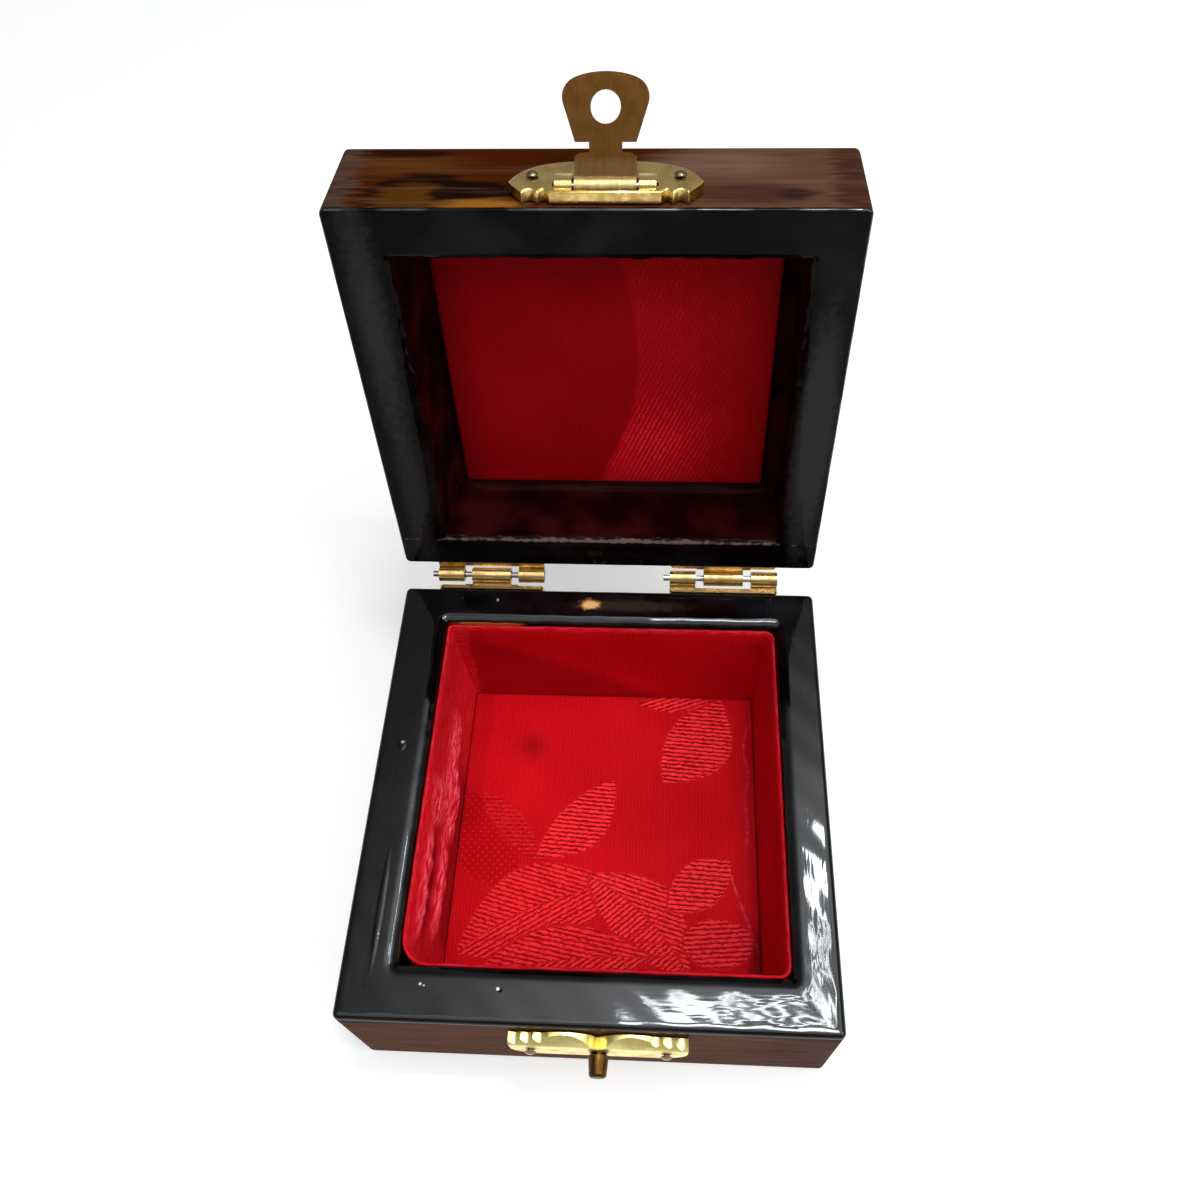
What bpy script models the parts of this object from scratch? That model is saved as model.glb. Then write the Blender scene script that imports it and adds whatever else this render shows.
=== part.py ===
"""Lacquered wooden trinket box, standing open, as the pieces that it comes apart into on a bench.

Metres, +Z up, with the origin in the middle of the underside and the front towards -Y.
The lid's pieces are modelled on the closed box and turned open by the empty on the hinge line.
The hasp leaf is modelled hanging over the post and leant back by the empty on its own pin.
"""

import math

import bmesh
import bpy
from mathutils import Vector
from mathutils.geometry import interpolate_bezier

MM = 0.001

# Wooden box
BOX_WIDTH = 76 * MM
BOX_DEPTH = 75 * MM
BASE_HEIGHT = 28.5 * MM
LID_HEIGHT = 17 * MM
LEFT_WALL = 8.3 * MM
RIGHT_WALL = 7.0 * MM
FRONT_WALL = 7.9 * MM
BACK_WALL = 6.8 * MM
FLOOR_PANEL = 2.6 * MM
TOP_PANEL = 3.0 * MM
CORNER_RADIUS = 1.0 * MM
BOTTOM_RADIUS = 2.3 * MM
TOP_RADIUS = 0.6 * MM
RIM_RADIUS = 0.35 * MM
PARTING_GAP = 0.4 * MM

# Clearance between pieces that touch, and how far a cutter runs past what it cuts
SEAT_GAP = 0.3 * MM
OVERRUN = 2.0 * MM

# Points nearer than this share of the seat gap are one point
SAME_POINT_SHARE = 0.01
SAME_POINT = SEAT_GAP * SAME_POINT_SHARE

# Faces that meet at less than this angle are shaded as one round surface
SMOOTH_ANGLE = math.radians(32)

# Silk covered lining cards
BAND_THICKNESS = 1.0 * MM
BAND_BELOW_RIM = 1.4 * MM
BAND_CORNER_RADIUS = 2.6 * MM
BAND_LEAN = 1.3 * MM
BAND_FOLD = 0.9 * MM
FLOOR_CARD = 1.0 * MM
LID_CARD = 1.2 * MM
LID_CARD_MARGIN = 2.7 * MM
LID_CARD_CORNER = 1.6 * MM
CARD_EDGE_RADIUS = 0.5 * MM

# Barrel hinges: sheet leaves with a plate on the back face and a flange out to the barrel
HINGE_LEFT_INSET = 16.0 * MM
HINGE_RIGHT_INSET = 16.5 * MM
HINGE_STANDOFF = 2.9 * MM
HINGE_BARREL_RADIUS = 1.4 * MM
HINGE_PIN_RADIUS = 0.55 * MM
HINGE_PIN_OVERHANG = 1.2 * MM
HINGE_SHEET = 0.7 * MM
HINGE_PLATE_HEIGHT = 8.0 * MM
HINGE_PLATE_CORNER = 1.0 * MM
OUTER_KNUCKLE = 4.8 * MM
KNUCKLE_GAP = 1.5 * MM
MIDDLE_KNUCKLE = 7.3 * MM
NECK_OVERHANG = 1.3 * MM
HINGE_NAIL_SPACING = 12.6 * MM
LID_OPEN_ANGLE = math.radians(97.5)

# Hasp: plate on the lid, leaf on its pin, plate and post on the base
HASP_X = 1.7 * MM
HASP_PLATE_WIDTH = 26.8 * MM
HASP_PLATE_HEIGHT = 8.4 * MM
HASP_PLATE_SHEET = 1.8 * MM
HASP_PLATE_ABOVE_RIM = 1.0 * MM
HASP_PLATE_BEVEL = 0.2 * MM
HASP_BRIDGE = 0.5 * MM
HASP_BARREL_RADIUS = 1.1 * MM
HASP_BARREL_LENGTH = 8.5 * MM
HASP_EAR_LENGTH = 2.4 * MM
HASP_EAR_RISE = 1.5 * MM
HASP_EAR_END_RADIUS = 0.9 * MM
HASP_PIN_RADIUS = 0.45 * MM
HASP_LEAF_SHEET = 0.6 * MM
HASP_LEAF_WIDTH = 11.8 * MM
HASP_NECK_WIDTH = 4.5 * MM
HASP_HOLE_SIDE_PLAY = 0.5 * MM
HASP_HOLE_END_PLAY = 0.65 * MM
HASP_HOLE_DROP = 0.15 * MM
HASP_BEYOND_HOLE = 2.25 * MM
HASP_LEAN_ANGLE = math.radians(122)
POST_PLATE_HEIGHT = 8.8 * MM
POST_PLATE_BELOW_RIM = 1.6 * MM
POST_PLATE_EDGE = 0.35 * MM
POST_ROOT_RADIUS = 1.55 * MM
POST_TIP_RADIUS = 1.35 * MM
POST_TIP_ROUNDING = 0.5 * MM
POST_LENGTH = 3.1 * MM
POST_SHANK_RADIUS = 1.1 * MM
POST_SHANK_LENGTH = 6.0 * MM
POST_HEIGHT_SHARE = 0.41

# Nails
PLATE_NAIL_INSET = 3.2 * MM
NAIL_SHANK_RADIUS = 0.42 * MM
NAIL_SHANK_LENGTH = 5.0 * MM
NAIL_HEAD_RADIUS = 0.9 * MM
NAIL_HEAD_HEIGHT = 0.45 * MM
NAIL_POINT_SHARE = 0.25

# Counts of facets
CORNER_STEPS = 4
ROUND_STEPS = 4
CIRCLE_STEPS = 28
SMALL_CIRCLE_STEPS = 16
CURVE_STEPS = 9
SCALLOP_STEPS = 4
SIDE_STEPS = 10
BAND_LEVELS = 8

# A rounding takes no more than this share of the thickness that it is cut from
ROUNDING_LIMIT_SHARE = 0.9

# A mitred corner runs no further than the inset over this share
MITRE_LIMIT_SHARE = 0.4

# Outlines of the hasp's plates, right half, as (share of the half width, share of the height)
HASP_SCALLOP_SHARES = ((0.57, 0.0), (0.69, 0.0), (0.85, 0.0))
HASP_SCALLOP_DEPTH_SHARE = 0.095
HASP_UPPER_SHARES = (
    ((0.85, 0.0), (0.88, 0.12), (0.95, 0.2), (1.0, 0.34)),
    ((1.0, 0.34), (0.97, 0.5), (0.9, 0.68), (0.735, 0.83)),
    ((0.735, 0.83), (0.6, 0.94), (0.4, 1.0), (0.0, 1.0)),
)
POST_LOWER_SHARES = (
    ((0.0, 0.0), (0.2, 0.06), (0.42, 0.08), (0.62, 0.12)),
    ((0.62, 0.12), (0.82, 0.16), (0.97, 0.3), (1.0, 0.52)),
)
POST_SCALLOP_SHARES = ((1.0, 0.9), (0.86, 0.93), (0.72, 0.94), (0.575, 0.95))
POST_LOBE_SHARES = (
    ((0.575, 0.95), (0.48, 1.0), (0.33, 1.02), (0.22, 0.96)),
    ((0.22, 0.96), (0.12, 0.91), (0.05, 0.82), (0.0, 0.66)),
)
POST_SCALLOP_DEPTH_SHARE = 0.06
NAIL_HEIGHT_SHARE = 0.5
POST_NAIL_HEIGHT_SHARE = 0.52

# Outline of the hasp's leaf, right half, as (share of the half width, share of the length from the pin)
LEAF_HEAD_SHARES = (
    ((0.0, 1.0), (0.3, 1.0), (0.62, 0.975), (0.8, 0.93)),
    ((0.8, 0.93), (0.95, 0.89), (1.04, 0.81), (0.98, 0.73)),
)
LEAF_CORNER_SHARES = (0.71, 0.39)
LEAF_NECK_END_SHARE = 0.3
LEAF_SHOULDER_SHARES = ((0.84, 0.294), (1.0, 0.262))

# The top edge of the band is rounded over this share of its thickness on each side
BAND_EDGE_SHARE = 0.25

# Fold of the silk on the left wall, as shares of the wall's height and length
FOLD_HEIGHT_SHARE = 0.52
FOLD_SPREAD_SHARE = 0.2
FOLD_RAMP_SHARE = 0.45

# Looks as (colour, metallic, roughness)
LACQUER = ((0.055, 0.018, 0.012, 1), 0.0, 0.12)
SILK = ((0.42, 0.006, 0.014, 1), 0.0, 0.62)
BRASS = ((0.40, 0.29, 0.13, 1), 1.0, 0.38)
STEEL = ((0.42, 0.41, 0.39, 1), 1.0, 0.35)

# Places that follow from the sizes
LEFT_X = -BOX_WIDTH / 2
RIGHT_X = BOX_WIDTH / 2
FRONT_Y = -BOX_DEPTH / 2
BACK_Y = BOX_DEPTH / 2
WELL = (LEFT_X + LEFT_WALL, RIGHT_X - RIGHT_WALL, FRONT_Y + FRONT_WALL, BACK_Y - BACK_WALL)
LID_RIM_Z = BASE_HEIGHT + PARTING_GAP
LID_TOP_Z = LID_RIM_Z + LID_HEIGHT
CEILING_Z = LID_TOP_Z - TOP_PANEL
HINGE_LEFT_X = LEFT_X + HINGE_LEFT_INSET
HINGE_RIGHT_X = RIGHT_X - HINGE_RIGHT_INSET
HINGE_AXIS = Vector((0, BACK_Y + HINGE_STANDOFF, BASE_HEIGHT + PARTING_GAP / 2))
HINGE_LENGTH = 2 * OUTER_KNUCKLE + 2 * KNUCKLE_GAP + MIDDLE_KNUCKLE
HINGE_PLATE_FACE = SEAT_GAP + HINGE_SHEET
HASP_PLATE_Z = LID_RIM_Z + HASP_PLATE_ABOVE_RIM
HASP_PLATE_FACE = SEAT_GAP + HASP_PLATE_SHEET
HASP_SLOT_Z = HASP_PLATE_Z + HASP_BRIDGE
HASP_AXIS_OUT = HASP_PLATE_FACE + SEAT_GAP + HASP_LEAF_SHEET - HASP_BARREL_RADIUS
HASP_AXIS = Vector((HASP_X, FRONT_Y - HASP_AXIS_OUT, HASP_SLOT_Z + SEAT_GAP + HASP_BARREL_RADIUS))
POST_PLATE_Z = BASE_HEIGHT - POST_PLATE_BELOW_RIM - POST_PLATE_HEIGHT
POST_Z = POST_PLATE_Z + POST_PLATE_HEIGHT * POST_HEIGHT_SHARE
PLATE_NAIL_SPACING = HASP_PLATE_WIDTH - 2 * PLATE_NAIL_INSET
HASP_HOLE_Z = POST_Z - HASP_HOLE_DROP
HASP_HOLE_RISE = POST_ROOT_RADIUS + HASP_HOLE_END_PLAY
HASP_LEAF_LENGTH = HASP_AXIS.z - HASP_HOLE_Z + HASP_HOLE_RISE + HASP_BEYOND_HOLE


def clear_scene():
    for item in list(bpy.data.objects):
        bpy.data.objects.remove(item, do_unlink=True)


def in_plan(u, v, w):
    """Outline seen from above, stacked along +Z."""
    return (u, v, w)


def on_front(u, v, w):
    """Outline on the front face, u to the right and v up, stacked outwards from the face."""
    return (u, FRONT_Y - w, v)


def on_back(u, v, w):
    """Outline on the back face seen from behind, stacked outwards from the face."""
    return (-u, BACK_Y + w, v)


def along_x(u, v, w):
    """Outline in the Y and Z of the hinge line or a pin, stacked along +X."""
    return (w, u, v)


def circle(centre_u, centre_v, radius, steps=CIRCLE_STEPS, height=None):
    """A circle, or an ellipse where a height is given."""
    height = radius if height is None else height
    angles = [2 * math.pi * step / steps for step in range(steps)]
    return [(centre_u + radius * math.cos(angle), centre_v + height * math.sin(angle)) for angle in angles]


def rectangle(u0, u1, v0, v1):
    return [(u0, v0), (u1, v0), (u1, v1), (u0, v1)]


def rounded_rectangle(u0, u1, v0, v1, radius, side_steps=1):
    """Anticlockwise from the bottom right corner, with each side in equal steps."""
    points = []
    right, left = u1 - radius, u0 + radius
    low, high = v0 + radius, v1 - radius
    corners = ((right, low), (right, high), (left, high), (left, low))
    for quarter, (centre_u, centre_v) in enumerate(corners):
        for step in range(CORNER_STEPS + 1):
            angle = math.pi / 2 * (quarter - 1 + step / CORNER_STEPS)
            points.append(Vector((centre_u + radius * math.cos(angle), centre_v + radius * math.sin(angle))))
    stepped = []
    for index, point in enumerate(points):
        stepped.append(point)
        if index % (CORNER_STEPS + 1) == CORNER_STEPS:
            following = points[(index + 1) % len(points)]
            stepped += [point.lerp(following, step / side_steps) for step in range(1, side_steps)]
    return [tuple(point) for point in stepped]


def box_outline(inset=0.0):
    """The box seen from above, drawn in by an inset."""
    return rounded_rectangle(LEFT_X + inset, RIGHT_X - inset, FRONT_Y + inset, BACK_Y - inset, CORNER_RADIUS)


def bezier_points(curves, u_scale, v_scale):
    """Points along joined cubic curves whose control points are shares of two sizes."""
    points = []
    for curve in curves:
        controls = [Vector((u * u_scale, v * v_scale, 0)) for u, v in curve]
        points += [point.to_2d() for point in interpolate_bezier(*controls, CURVE_STEPS)][:-1]
    end_u, end_v = curves[-1][-1]
    return [tuple(point) for point in points] + [(end_u * u_scale, end_v * v_scale)]


def scalloped(shares, u_scale, v_scale, depth):
    """Hollow arcs between successive points, hollowed towards the left of the way along them."""
    ends = [Vector((u * u_scale, v * v_scale)) for u, v in shares]
    points = []
    for start, end in zip(ends, ends[1:]):
        inward = Vector((start.y - end.y, end.x - start.x)).normalized()
        for step in range(SCALLOP_STEPS):
            share = step / SCALLOP_STEPS
            points.append(tuple(start.lerp(end, share) + inward * depth * math.sin(math.pi * share)))
    return points + [tuple(ends[-1])]


def without_repeats(points):
    """The outline without a point that lies on the one before it."""
    kept = []
    for point in points:
        if not kept or (Vector(point) - Vector(kept[-1])).length > SAME_POINT:
            kept.append(point)
    return kept


def mirrored(right_half):
    """A whole outline from its right half, listed anticlockwise from one end of the centre line."""
    left_half = [(-u, v) for u, v in reversed(right_half) if abs(u) > SAME_POINT]
    return without_repeats(right_half + left_half)


def shifted(outline, du, dv):
    return [(u + du, v + dv) for u, v in outline]


def inset_outline(outline, distance):
    """The outline with every edge moved inwards by the distance, and mitred where two edges meet."""
    moved = []
    for index, point in enumerate(outline):
        here = Vector(point)
        before = (here - Vector(outline[index - 1])).normalized()
        after = (Vector(outline[(index + 1) % len(outline)]) - here).normalized()
        inward = Vector((-before.y - after.y, before.x + after.x)).normalized()
        slant = max(inward.dot(Vector((-after.y, after.x))), MITRE_LIMIT_SHARE)
        moved.append(tuple(here + inward * distance / slant))
    return moved


def stack(name, layers, place, is_loop=False):
    """A solid skinned over outlines of equal length, each given with its height."""
    mesh = bpy.data.meshes.new(name)
    shape = bmesh.new()
    rings = [[shape.verts.new(place(u, v, w)) for u, v in outline] for outline, w in layers]
    following = rings[1:] + rings[:1] if is_loop else rings[1:]
    for lower, upper in zip(rings, following):
        for index in range(len(lower)):
            after = (index + 1) % len(lower)
            shape.faces.new((lower[index], lower[after], upper[after], upper[index]))
    if not is_loop:
        shape.faces.new(list(reversed(rings[0])))
        shape.faces.new(rings[-1])
    bmesh.ops.recalc_face_normals(shape, faces=shape.faces)
    shape.to_mesh(mesh)
    shape.free()
    item = bpy.data.objects.new(name, mesh)
    bpy.context.scene.collection.objects.link(item)
    return item


def prism(name, outline, start, end, place):
    return stack(name, ((outline, start), (outline, end)), place)


def bevelled_plate(name, outline, start, end, bevel, place):
    """A stamped plate whose outer edge is bevelled."""
    bevel = min(bevel, (end - start) * ROUNDING_LIMIT_SHARE)
    layers = ((outline, start), (outline, end - bevel), (inset_outline(outline, bevel), end))
    return stack(name, layers, place)


def combine(target, others, operation):
    """Apply a Boolean of each of the others to the target, and remove the others."""
    for other in others:
        modifier = target.modifiers.new(other.name, 'BOOLEAN')
        modifier.operation = operation
        modifier.object = other
    bpy.context.view_layer.update()
    evaluated = target.evaluated_get(bpy.context.evaluated_depsgraph_get())
    shape = bpy.data.meshes.new_from_object(evaluated)
    target.modifiers.clear()
    target.data = shape
    for other in others:
        bpy.data.objects.remove(other, do_unlink=True)
    return target


def cut(target, *cutters):
    return combine(target, cutters, 'DIFFERENCE')


def join(target, *others):
    return combine(target, others, 'UNION')


def split(item, names):
    """Break a solid of several bodies into one object for each, named by a function of its middle."""
    shape = bmesh.new()
    shape.from_mesh(item.data)
    left_over = set(shape.verts)
    pieces = []
    while left_over:
        reached = {left_over.pop()}
        edge = set(reached)
        while edge:
            near = {link.other_vert(vert) for vert in edge for link in vert.link_edges} - reached
            reached |= near
            edge = near
        left_over -= reached
        middle = sum((vert.co for vert in reached), Vector()) / len(reached)
        pieces.append(solid_of(names(middle), reached))
    shape.free()
    bpy.data.objects.remove(item, do_unlink=True)
    return pieces


def solid_of(name, verts):
    """A new object from the faces of some of a bmesh's vertices."""
    order = sorted(verts, key=lambda vert: vert.index)
    numbers = {vert: number for number, vert in enumerate(order)}
    faces = {face for vert in order for face in vert.link_faces}
    listed = [[numbers[vert] for vert in face.verts] for face in sorted(faces, key=lambda face: face.index)]
    mesh = bpy.data.meshes.new(name)
    mesh.from_pydata([vert.co for vert in order], [], listed)
    item = bpy.data.objects.new(name, mesh)
    bpy.context.scene.collection.objects.link(item)
    return item


def finish(item, look, parent=None, origin=None):
    """Give a piece its origin, its own material, smooth round faces and its carrier."""
    corners = [vert.co for vert in item.data.vertices]
    if origin is None:
        low = Vector([min(corner[axis] for corner in corners) for axis in range(3)])
        high = Vector([max(corner[axis] for corner in corners) for axis in range(3)])
        origin = (low + high) / 2
    for vert in item.data.vertices:
        vert.co -= origin
    item.location = origin
    colour, metallic, roughness = look
    material = bpy.data.materials.new(item.name)
    material.use_nodes = True
    shader = material.node_tree.nodes['Principled BSDF']
    shader.inputs['Base Color'].default_value = colour
    shader.inputs['Metallic'].default_value = metallic
    shader.inputs['Roughness'].default_value = roughness
    material.diffuse_color = colour
    item.data.materials.clear()
    item.data.materials.append(material)
    item.data.shade_smooth()
    item.data.set_sharp_from_angle(angle=SMOOTH_ANGLE)
    if parent is not None:
        item.parent = parent
        item.location = origin - Vector(parent['closed_place'])
    return item


def pivot(name, place, parent=None):
    """An empty on a joint's line; pieces under it are placed from where it stands on the closed box."""
    empty = bpy.data.objects.new(name, None)
    bpy.context.scene.collection.objects.link(empty)
    empty['closed_place'] = place
    empty.location = place
    if parent is not None:
        empty.parent = parent
        empty.location = place - Vector(parent['closed_place'])
    return empty


def edge_layers(depth, radius, start, outward):
    """Insets and heights of a quarter round edge, from its flat end towards the wall."""
    radius = min(radius, depth * ROUNDING_LIMIT_SHARE)
    layers = []
    for step in range(ROUND_STEPS + 1):
        angle = math.pi / 2 * step / ROUND_STEPS
        layers.append((radius * (1 - math.sin(angle)), start + outward * radius * (1 - math.cos(angle))))
    return layers


def wooden_panel(name, low, high, radius, is_round_below):
    """A board over the whole box, with its outer long edges rounded."""
    depth = high - low
    if is_round_below:
        layers = edge_layers(depth, radius, low, 1) + [(0.0, high)]
    else:
        layers = [(0.0, low)] + list(reversed(edge_layers(depth, radius, high, -1)))
    return stack(name, [(box_outline(inset), height) for inset, height in layers], in_plan)


def mitre_kerfs(low, high):
    """Thin saw cuts through the four corners, from the outer corner to the well's corner."""
    kerfs = []
    well_left, well_right, well_front, well_back = WELL
    corners = ((LEFT_X, FRONT_Y, well_left, well_front), (RIGHT_X, FRONT_Y, well_right, well_front),
               (RIGHT_X, BACK_Y, well_right, well_back), (LEFT_X, BACK_Y, well_left, well_back))
    for outer_x, outer_y, inner_x, inner_y in corners:
        outer = Vector((outer_x, outer_y))
        inner = Vector((inner_x, inner_y))
        way = (inner - outer).normalized()
        side = Vector((-way.y, way.x)) * SEAT_GAP / 2
        start = outer - way * OVERRUN
        end = inner + way * OVERRUN
        outline = [tuple(point) for point in (start - side, end - side, end + side, start + side)]
        kerfs.append(prism('kerf', outline, low - OVERRUN, high + OVERRUN, in_plan))
    return kerfs


def board_namer(half):
    def name_of(middle):
        if abs(middle.x) * BOX_DEPTH > abs(middle.y) * BOX_WIDTH:
            side = 'left' if middle.x < 0 else 'right'
        else:
            side = 'front' if middle.y < 0 else 'back'
        return half + '_' + side + '_board'
    return name_of


def mitred_boards(half, low, high, is_rim_above, holes):
    """The four wall boards of a half, drilled for its nails, from one frame sawn at its corners."""
    rim = edge_layers(high - low, RIM_RADIUS, high if is_rim_above else low, -1 if is_rim_above else 1)
    layers = [(0.0, low)] + list(reversed(rim)) if is_rim_above else rim + [(0.0, high)]
    frame = stack(half, [(box_outline(inset), height) for inset, height in layers], in_plan)
    well = prism('well', rectangle(*WELL), low - OVERRUN, high + OVERRUN, in_plan)
    cut(frame, well, *holes)
    cut(frame, *mitre_kerfs(low, high))
    return split(frame, board_namer(half))


def nail_hole(u, v, seat, place):
    """Cutter for a nail's hole, from just past its point to beyond the plate's face at the seat."""
    outline = circle(u, v, NAIL_SHANK_RADIUS + SEAT_GAP, SMALL_CIRCLE_STEPS)
    return prism('hole', outline, seat - NAIL_SHANK_LENGTH, seat + OVERRUN, place)


def nail(name, u, v, seat, place):
    """A pointed nail with a low domed head, driven through a plate whose face is at the seat."""
    head = seat + SEAT_GAP
    point = head - NAIL_SHANK_LENGTH
    taper_end = point + 2 * NAIL_SHANK_RADIUS
    layers = [(NAIL_SHANK_RADIUS * NAIL_POINT_SHARE, point), (NAIL_SHANK_RADIUS, taper_end),
              (NAIL_SHANK_RADIUS, head), (NAIL_HEAD_RADIUS, head)]
    for step in range(1, ROUND_STEPS):
        angle = math.pi / 2 * step / ROUND_STEPS
        layers.append((NAIL_HEAD_RADIUS * math.cos(angle), head + NAIL_HEAD_HEIGHT * math.sin(angle)))
    return stack(name, [(circle(u, v, radius, SMALL_CIRCLE_STEPS), w) for radius, w in layers], place)


def band_radius(inset):
    """Corner radius of the band's outline at an inset from its outer face."""
    return max(BAND_CORNER_RADIUS - inset, BAND_THICKNESS / 2)


def lining_band():
    """Silk covered card round the well, leaning in towards its foot, with the loose fold of the left wall."""
    foot = FLOOR_PANEL + SEAT_GAP
    top = BASE_HEIGHT - BAND_BELOW_RIM
    left, right, front, back = WELL

    def ring(inset, height, fold=0.0):
        drawn_in = SEAT_GAP + inset
        outline = rounded_rectangle(left + drawn_in, right - drawn_in, front + drawn_in, back - drawn_in,
                                    band_radius(inset), SIDE_STEPS)
        edge = left + drawn_in
        folded = []
        for u, v in outline:
            along = (back - v) / (back - front)
            is_left_wall = u < edge + SAME_POINT
            push = fold * min(along / FOLD_RAMP_SHARE, 1.0) if is_left_wall else 0.0
            folded.append((u + push, v))
        return folded, height

    shoulder = top - BAND_THICKNESS / 2
    layers = [ring(0.0, foot), ring(0.0, shoulder)]
    layers += [ring(BAND_THICKNESS * BAND_EDGE_SHARE, top), ring(BAND_THICKNESS * (1 - BAND_EDGE_SHARE), top)]
    for level in range(BAND_LEVELS + 1):
        down = level / BAND_LEVELS
        height = shoulder - (shoulder - foot) * down
        bulge = math.exp(-((down - FOLD_HEIGHT_SHARE) / FOLD_SPREAD_SHARE) ** 2)
        layers.append(ring(BAND_THICKNESS + BAND_LEAN * down ** 2, height, BAND_FOLD * bulge))
    return stack('base_lining_band', layers, in_plan, is_loop=True)


def card(name, bounds, corner, low, high, is_face_above):
    """A padded card whose face has a soft edge."""
    left, right, front, back = bounds
    depth = high - low
    soft = edge_layers(depth, CARD_EDGE_RADIUS, high if is_face_above else low, -1 if is_face_above else 1)
    layers = [(0.0, low)] + list(reversed(soft)) if is_face_above else soft + [(0.0, high)]

    def outline(inset):
        return rounded_rectangle(left + inset, right - inset, front + inset, back - inset, corner)

    return stack(name, [(outline(inset), height) for inset, height in layers], in_plan)


def knuckle_spans(has_outer_knuckles):
    half = HINGE_LENGTH / 2
    if has_outer_knuckles:
        return [(-half, -half + OUTER_KNUCKLE), (half - OUTER_KNUCKLE, half)]
    return [(-MIDDLE_KNUCKLE / 2, MIDDLE_KNUCKLE / 2)]


def hinge_leaf(name, centre_x, side, has_outer_knuckles):
    """A leaf from one bent sheet: plate on the back face, flange outwards, knuckles round the pin.

    The side is 1 for the lid's leaf and -1 for the base's. Heights run from the hinge line.
    """
    axis_y = HINGE_AXIS.y
    axis_z = HINGE_AXIS.z
    flange_far = HINGE_BARREL_RADIUS
    flange_near = flange_far - HINGE_SHEET
    neck_end = axis_y - HINGE_BARREL_RADIUS - SEAT_GAP
    if has_outer_knuckles:
        neck_half = HINGE_LENGTH / 2 - HINGE_PLATE_CORNER
    else:
        neck_half = MIDDLE_KNUCKLE / 2 + NECK_OVERHANG
    flange_heights = sorted((axis_z + side * flange_near, axis_z + side * flange_far))
    plate_heights = sorted((axis_z + side * flange_near, axis_z + side * (flange_near + HINGE_PLATE_HEIGHT)))
    plate_outline = rounded_rectangle(-centre_x - HINGE_LENGTH / 2, -centre_x + HINGE_LENGTH / 2,
                                      *plate_heights, HINGE_PLATE_CORNER)
    leaf = prism(name, plate_outline, SEAT_GAP, HINGE_PLATE_FACE, on_back)
    neck_outline = rectangle(BACK_Y + SEAT_GAP + HINGE_SHEET / 2, neck_end, *flange_heights)
    tongue_outline = rectangle(neck_end - HINGE_SHEET, axis_y, *flange_heights)
    barrel_outline = circle(axis_y, axis_z, HINGE_BARREL_RADIUS)
    others = [prism('neck', neck_outline, centre_x - neck_half, centre_x + neck_half, along_x)]
    for start, end in knuckle_spans(has_outer_knuckles):
        others.append(prism('tongue', tongue_outline, centre_x + start, centre_x + end, along_x))
        others.append(prism('barrel', barrel_outline, centre_x + start, centre_x + end, along_x))
    join(leaf, *others)
    bore_half = HINGE_LENGTH / 2 + OVERRUN
    bore = prism('bore', circle(axis_y, axis_z, HINGE_PIN_RADIUS + SEAT_GAP, SMALL_CIRCLE_STEPS),
                 centre_x - bore_half, centre_x + bore_half, along_x)
    holes = [nail_hole(u, v, HINGE_PLATE_FACE, on_back) for u, v in hinge_nail_places(centre_x, side)]
    return cut(leaf, bore, *holes)


def hinge_nail_places(centre_x, side):
    """Places of a leaf's two nails on the back face, as seen from behind."""
    height = HINGE_AXIS.z + side * (HINGE_BARREL_RADIUS - HINGE_SHEET + HINGE_PLATE_HEIGHT / 2)
    return [(-centre_x + shift, height) for shift in (-HINGE_NAIL_SPACING / 2, HINGE_NAIL_SPACING / 2)]


def hinge_nail_holes(side):
    """Cutters through both hinges' leaves on one half and into its back board."""
    return [nail_hole(u, v, HINGE_PLATE_FACE, on_back) for centre_x in (HINGE_LEFT_X, HINGE_RIGHT_X)
            for u, v in hinge_nail_places(centre_x, side)]


def hinge_pin(name, centre_x):
    """A steel pin that stands out of the left end of its barrel."""
    start = centre_x - HINGE_LENGTH / 2 - HINGE_PIN_OVERHANG
    return prism(name, circle(HINGE_AXIS.y, HINGE_AXIS.z, HINGE_PIN_RADIUS, SMALL_CIRCLE_STEPS),
                 start, centre_x + HINGE_LENGTH / 2, along_x)


def plate_nail_places(plate_low, height, share):
    return [(HASP_X + shift, plate_low + height * share)
            for shift in (-PLATE_NAIL_SPACING / 2, PLATE_NAIL_SPACING / 2)]


def hasp_nail_places():
    return plate_nail_places(HASP_PLATE_Z, HASP_PLATE_HEIGHT, NAIL_HEIGHT_SHARE)


def post_nail_places():
    return plate_nail_places(POST_PLATE_Z, POST_PLATE_HEIGHT, POST_NAIL_HEIGHT_SHARE)


def plate_nail_holes(places):
    return [nail_hole(u, v, HASP_PLATE_FACE, on_front) for u, v in places]


def ear_outline():
    """An ear seen along the pin: round below, and drawn out up the plate to a smaller round."""
    far_z = HASP_AXIS.z + HASP_EAR_RISE
    near = circle(HASP_AXIS.y, HASP_AXIS.z, HASP_BARREL_RADIUS)
    far = circle(HASP_AXIS.y, far_z, HASP_EAR_END_RADIUS)
    return [point for point in near if point[1] < HASP_AXIS.z] + [point for point in far if point[1] >= far_z]


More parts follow.
